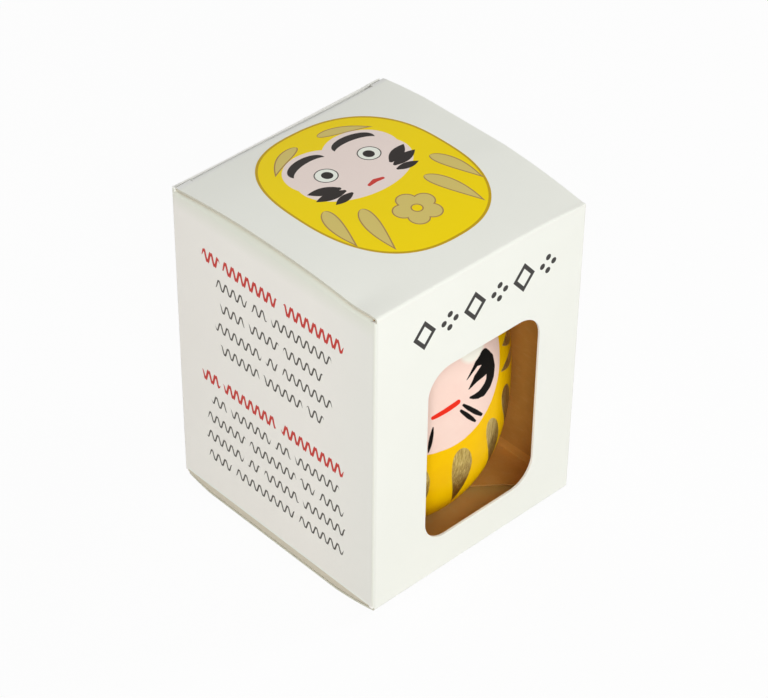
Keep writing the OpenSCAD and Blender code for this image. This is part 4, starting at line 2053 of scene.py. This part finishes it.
    def dust(self, side: float) -> Patch:
        """A dust flap: its crease on the side wall, then a plate that narrows.

        At a distance d past the crease the plate runs from front + d tan(slant) to
        back - d tan(taper), with an ear that fades beside the corner. The crease is pressed
        out to the bowed lid: its height is fold + swell(y) - sag(y), and what the lid adds
        fades as 1 - 3 s^2 + 2 s^3 with s = d / fade.

        Args:
            side: -1 for the left flap, and 1 for the right one.

        Returns:
            The flap's outer face.
        """
        s, h = self.sizes, self.dust_fold
        low, high = box_mm("top_dust_flap_left")
        angles = np.radians(np.linspace(180.0, 90.0, self.crease_steps + 1))
        plate = np.linspace(0.0, 1.0, self.dust_rows + 1)[1:] ** self.dust_crowding
        plate = plate * (float(high[Axis.X]) + s.half_w - h)
        along = np.concatenate([h * np.cos(angles), plate])[:, None]
        up = np.concatenate([np.sin(angles), np.ones(len(plate))])[:, None]
        past = np.clip(along, 0.0, None)
        slant, taper = (math.tan(math.radians(v)) for v in (self.dust_slant, self.dust_taper))
        front, back = low[Axis.Y] + past * slant, high[Axis.Y] - past * taper
        ear = np.clip(1.0 - past / self.dust_ear, 0.0, 1.0) ** 2
        back = back + (s.post_y - high[Axis.Y]) * ear
        share = np.linspace(0.0, 1.0, self.dust_columns + 1)
        y = front * (1.0 - share) + back * share
        lift = np.minimum(self.swell(y) - self.sag(side * self.lid_half, y), self.bow)
        rise = s.fold + lift * (1.0 - eased(past / self.dust_fade))
        z = float(high[Axis.Z]) - s.fold + rise * up
        x = np.broadcast_to(-s.half_w + h + along, y.shape)
        patch = Patch.bent(np.stack([x, y, z], axis=-1), (0.0, 0.0, 1.0))
        return patch if side < 0.0 else patch.mirrored(Axis.X, 0.0)


@dataclass
class Carton:
    """The whole folding carton; crown is its top closure and rest the one that it stands on."""

    sizes: CartonSizes = field(default_factory=CartonSizes)
    crown_flat: float = 4.0
    rest_flat: float = 28.0
    rest_dust_fold: float = 0.45
    crown_sags: Sags = (1.05, 0.7, 1.0, -0.7)
    rest_sags: Sags = (0.0, -0.7, 0.0, -0.4)

    def build(self) -> None:
        """Builds the walls and both closures."""
        Walls(self.sizes).build()
        Closure(self.sizes, End.TOP, self.crown_flat, self.crown_sags).build()
        Closure(
            self.sizes, End.BOTTOM, self.rest_flat, self.rest_sags, self.rest_dust_fold
        ).build()


# ---- Doll ----


@dataclass
class Doll:
    """The hollow doll and the clay weight in its base, with sizes in millimetres."""

    power: float = 2.3
    shell: float = 2.0
    base_r: float = 15.5
    base_bevel: float = 0.3
    weight_r: float = 11.5
    hole_depth: float = 1.2
    sway: float = 0.07
    steps: int = 288
    outer_points: int = 150
    inner_points: int = 40
    weight_steps: int = 128
    weight_points: int = 12
    radius: float = field(init=False)
    foot: float = field(init=False)
    centre: Point = field(init=False)
    rise: float = field(init=False)
    waist: float = field(init=False)

    def __post_init__(self) -> None:
        """Reads the doll's box, and finds its waist: the height at which it is widest."""
        low, high = box_mm("doll_shell")
        self.radius = float(high[Axis.X] - low[Axis.X]) / 2.0
        self.foot = float(low[Axis.Z])
        self.centre = tuple(float(v) for v in (high + low)[:2] / 2.0)
        share = (1.0 - (self.base_r / self.radius) ** self.power) ** (1.0 / self.power)
        self.rise = float(high[Axis.Z] - low[Axis.Z]) / (1.0 + share)
        self.waist = self.rise * share

    def side(self, inset: float, count: int) -> Array:
        """Radius and height of the superellipse set in by inset, from its foot to its crown.

        With a from the foot's angle to a right angle, the radius is R cos(a)^(2/p) and the
        height is the waist plus or less H |sin a|^(2/p).

        Args:
            inset: How far it is set in from the doll's outside.
            count: Number of points.

        Returns:
            The points, (count, 2).
        """
        rise, radius, p = self.rise - inset, self.radius - inset, self.power
        foot = -math.asin(min(1.0, (self.waist / rise) ** (p / 2.0)))
        angles = np.linspace(foot, math.pi / 2.0, count)
        radii = radius * np.clip(np.cos(angles), 0.0, None) ** (2.0 / p)
        up = np.sign(np.sin(angles)) * rise * np.abs(np.sin(angles)) ** (2.0 / p)
        return np.stack([radii, np.clip(self.waist + up, 0.0, None)], axis=-1)

    def build(self) -> None:
        """Builds and dresses the shell and the weight."""
        self.finish("doll_shell", self.skin(), "painted_papier_mache")
        self.finish("doll_base_weight", self.weight(), "clay")

    def skin(self) -> bpy.types.Object:
        """The shell: down the outside, in through the hole in its base, and up the inside.

        Returns:
            The painted shell, bare inside.
        """
        outer, inner = self.side(0.0, self.outer_points), self.side(self.shell, self.inner_points)
        hole_r, low = self.weight_r, inner[:5]
        hole_top = max(float(np.interp(hole_r, low[:, 0], low[:, 1])), self.hole_depth)
        hole = [[self.base_r - self.base_bevel, 0.0], [hole_r, 0.0], [hole_r, hole_top]]
        wide = inner[:, 0] > hole_r
        wall = inner[wide & (inner[:, 1] > hole_top)]
        crown = inner[~wide & (inner[:, 1] > self.waist)]
        profile = np.vstack([outer[::-1], hole, wall, crown])
        profile[0, 0] = profile[-1, 0] = 0.0
        profile[:, 1] += self.foot
        slots = np.ones(len(profile) - 1, int)
        slots[: len(outer) - 1] = 0
        finishes = (DollPaint(axis=self.centre, foot=self.foot), RawPulp())
        return turned(
            "painted_shell", profile, slots, self.centre, self.steps, finishes, self.sway
        )

    def weight(self) -> bpy.types.Object:
        """A clay plug that follows the inside of the shell, with softened edges.

        Returns:
            The plug.
        """
        low, high = box_mm("doll_base_weight")
        tall, inner = float(high[Axis.Z] - low[Axis.Z]), self.side(self.shell, 60)[:30]
        soft, play = 0.6, 0.12
        heights = np.linspace(soft, tall - soft, self.weight_points)
        radii = np.maximum(self.weight_r, np.interp(heights, inner[:, 1], inner[:, 0]))
        top_r = float(radii[-1])
        low_r = self.weight_r
        base = [[0.0, 0.0], [6.0, 0.0], [low_r - soft, 0.0], [low_r - 0.25, 0.15]]
        body = np.stack([radii - play, heights], axis=-1)
        top = [[top_r - 0.35, tall - play], [top_r - 0.9, tall], [top_r / 2.0, tall], [0.0, tall]]
        profile = np.vstack([base, body, top])
        profile[:, 1] += self.foot
        slots = np.zeros(len(profile) - 1, int)
        finishes = (RawClay(),)
        return turned("clay_weight", profile, slots, self.centre, self.weight_steps, finishes)

    @staticmethod
    def finish(node: str, piece: bpy.types.Object, slot: str) -> None:
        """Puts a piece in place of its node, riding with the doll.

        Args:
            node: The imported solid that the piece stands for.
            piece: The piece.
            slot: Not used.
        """
        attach(piece, "doll")
        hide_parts(node)
        log.info("%s: %d faces on body doll", piece.name, len(piece.data.polygons))


# ---- Studio ----


@dataclass(frozen=True)
class Lamp:
    """A square soft lamp that looks at the carton's middle.

    azimuth is its angle from -Y towards +X, and elevation its angle above the floor, in degrees.
    """

    name: str
    azimuth: float
    elevation: float
    size: float
    power: float
    distance: float = 1.0
    middle: Point3 = (0.0, 0.0, 0.04)

    def build(self) -> None:
        """Stands the lamp at its distance and turns it to the carton."""
        data = bpy.data.lights.new(self.name, "AREA")
        data.shape, data.size, data.energy = "SQUARE", self.size, self.power
        way = towards(self.azimuth, self.elevation)
        lamp = linked(self.name, data)
        lamp.location = Vector(self.middle) + way * self.distance
        lamp.rotation_mode = "QUATERNION"
        lamp.rotation_quaternion = (-way).to_track_quat("-Z", "Y")


@dataclass
class Studio:
    """Pale floor, soft lamps and the camera.

    The camera's distance and shift, and the height of the middle that it looks at, are in
    units; floor_reach is in metres, and sky and white are strengths.
    """

    lens: float = 123.05
    sensor: float = 36.0
    azimuth: float = -43.6055
    elevation: float = 38.7725
    roll: float = 0.679
    distance: float = 9.4911
    shift: Point = (-0.0247, 0.0284)
    unit: float = 0.060
    middle: float = 0.6622
    lift: float = 0.0018
    sky: float = 0.33
    white: float = 0.94
    floor_reach: float = 4.0
    floor_colour: Colour = (0.86, 0.86, 0.86)
    lamps: Tuple[Lamp, ...] = (
        Lamp("key_lamp", 67.0, 30.0, 0.28, 2.9),
        Lamp("front_lamp", -40.0, 32.0, 0.5, 5.0),
        Lamp("low_lamp", -42.0, 12.0, 0.5, 1.8),
        Lamp("back_lamp", 165.0, 48.0, 0.7, 1.9),
    )

    def build(self) -> None:
        """Builds the camera, the floor, the sky and the lamps."""
        self.camera()
        self.floor()
        self.world()
        for lamp in self.lamps:
            lamp.build()
        bpy.context.scene.view_settings.view_transform = "Standard"

    def camera(self) -> None:
        """Stands the camera at distance from the carton's middle, turned by its three angles."""
        a, r = math.radians(self.azimuth), math.radians(self.roll)
        back = towards(self.azimuth, self.elevation)
        level = Vector((math.cos(a), math.sin(a), 0.0))
        upright = back.cross(level)
        right = level * math.cos(r) + upright * math.sin(r)
        up = upright * math.cos(r) - level * math.sin(r)
        place = back * self.distance - right * self.shift[0] - up * self.shift[1]
        place = place * self.unit + Vector((0.0, 0.0, self.middle * self.unit + self.lift))
        data = bpy.data.cameras.new("camera")
        data.lens, data.sensor_width = self.lens, self.sensor
        data.clip_start, data.clip_end = 0.01, 20.0
        camera = linked("camera", data)
        basis = Matrix((right, up, back)).transposed().to_4x4()
        camera.matrix_world = Matrix.Translation(place) @ basis
        bpy.context.scene.camera = camera

    @staticmethod
    def seen(net: Net) -> Wire:
        """1 where the camera or a reflection looks, and 0 for light that falls on the carton."""
        rays = net.node("ShaderNodeLightPath", {}, {}).outputs
        return Wire(net, rays["Is Camera Ray"]).most(Wire(net, rays["Is Glossy Ray"]))

    def floor(self) -> None:
        """A wide white floor that keeps a soft shadow and shows white to the camera."""
        corners = [(x, y, 0.0) for x, y in ((-1, -1), (1, -1), (1, 1), (-1, 1))]
        mesh = bpy.data.meshes.new("floor")
        mesh.from_pydata(np.array(corners) * self.floor_reach, [], [(0, 1, 2, 3)])
        material = bpy.data.materials.new("floor")
        net = Net(material)
        matt = net.shader(self.floor_colour, 0.9, Specular_IOR_Level=0.0)
        glow = net.wire("ShaderNodeEmission", {}, {"Color": (1.0, 1.0, 1.0), "Strength": 1.0})
        inputs = {0: self.seen(net) * self.white, 1: matt, 2: glow}
        mixed = net.wire("ShaderNodeMixShader", {}, inputs)
        net.node("ShaderNodeOutputMaterial", {}, {0: mixed})
        mesh.materials.append(material)
        floor = linked("floor", mesh)

    def world(self) -> None:
        """An even sky that lights softly and is white to the camera and in reflections."""
        world = bpy.data.worlds.new("sky")
        net = Net(world)
        strength = self.seen(net) * (1.0 - self.sky) + self.sky
        background = net.wire("ShaderNodeBackground", {}, {"Strength": strength})
        net.node("ShaderNodeOutputWorld", {}, {0: background})
        bpy.context.scene.world = world


def main() -> None:
    """Builds the carton, the doll and the studio."""
    logging.basicConfig(level=logging.INFO, format="%(name)s: %(message)s")
    Carton().build()
    Doll().build()
    Studio().build()


if __name__ == "__main__":
    main()
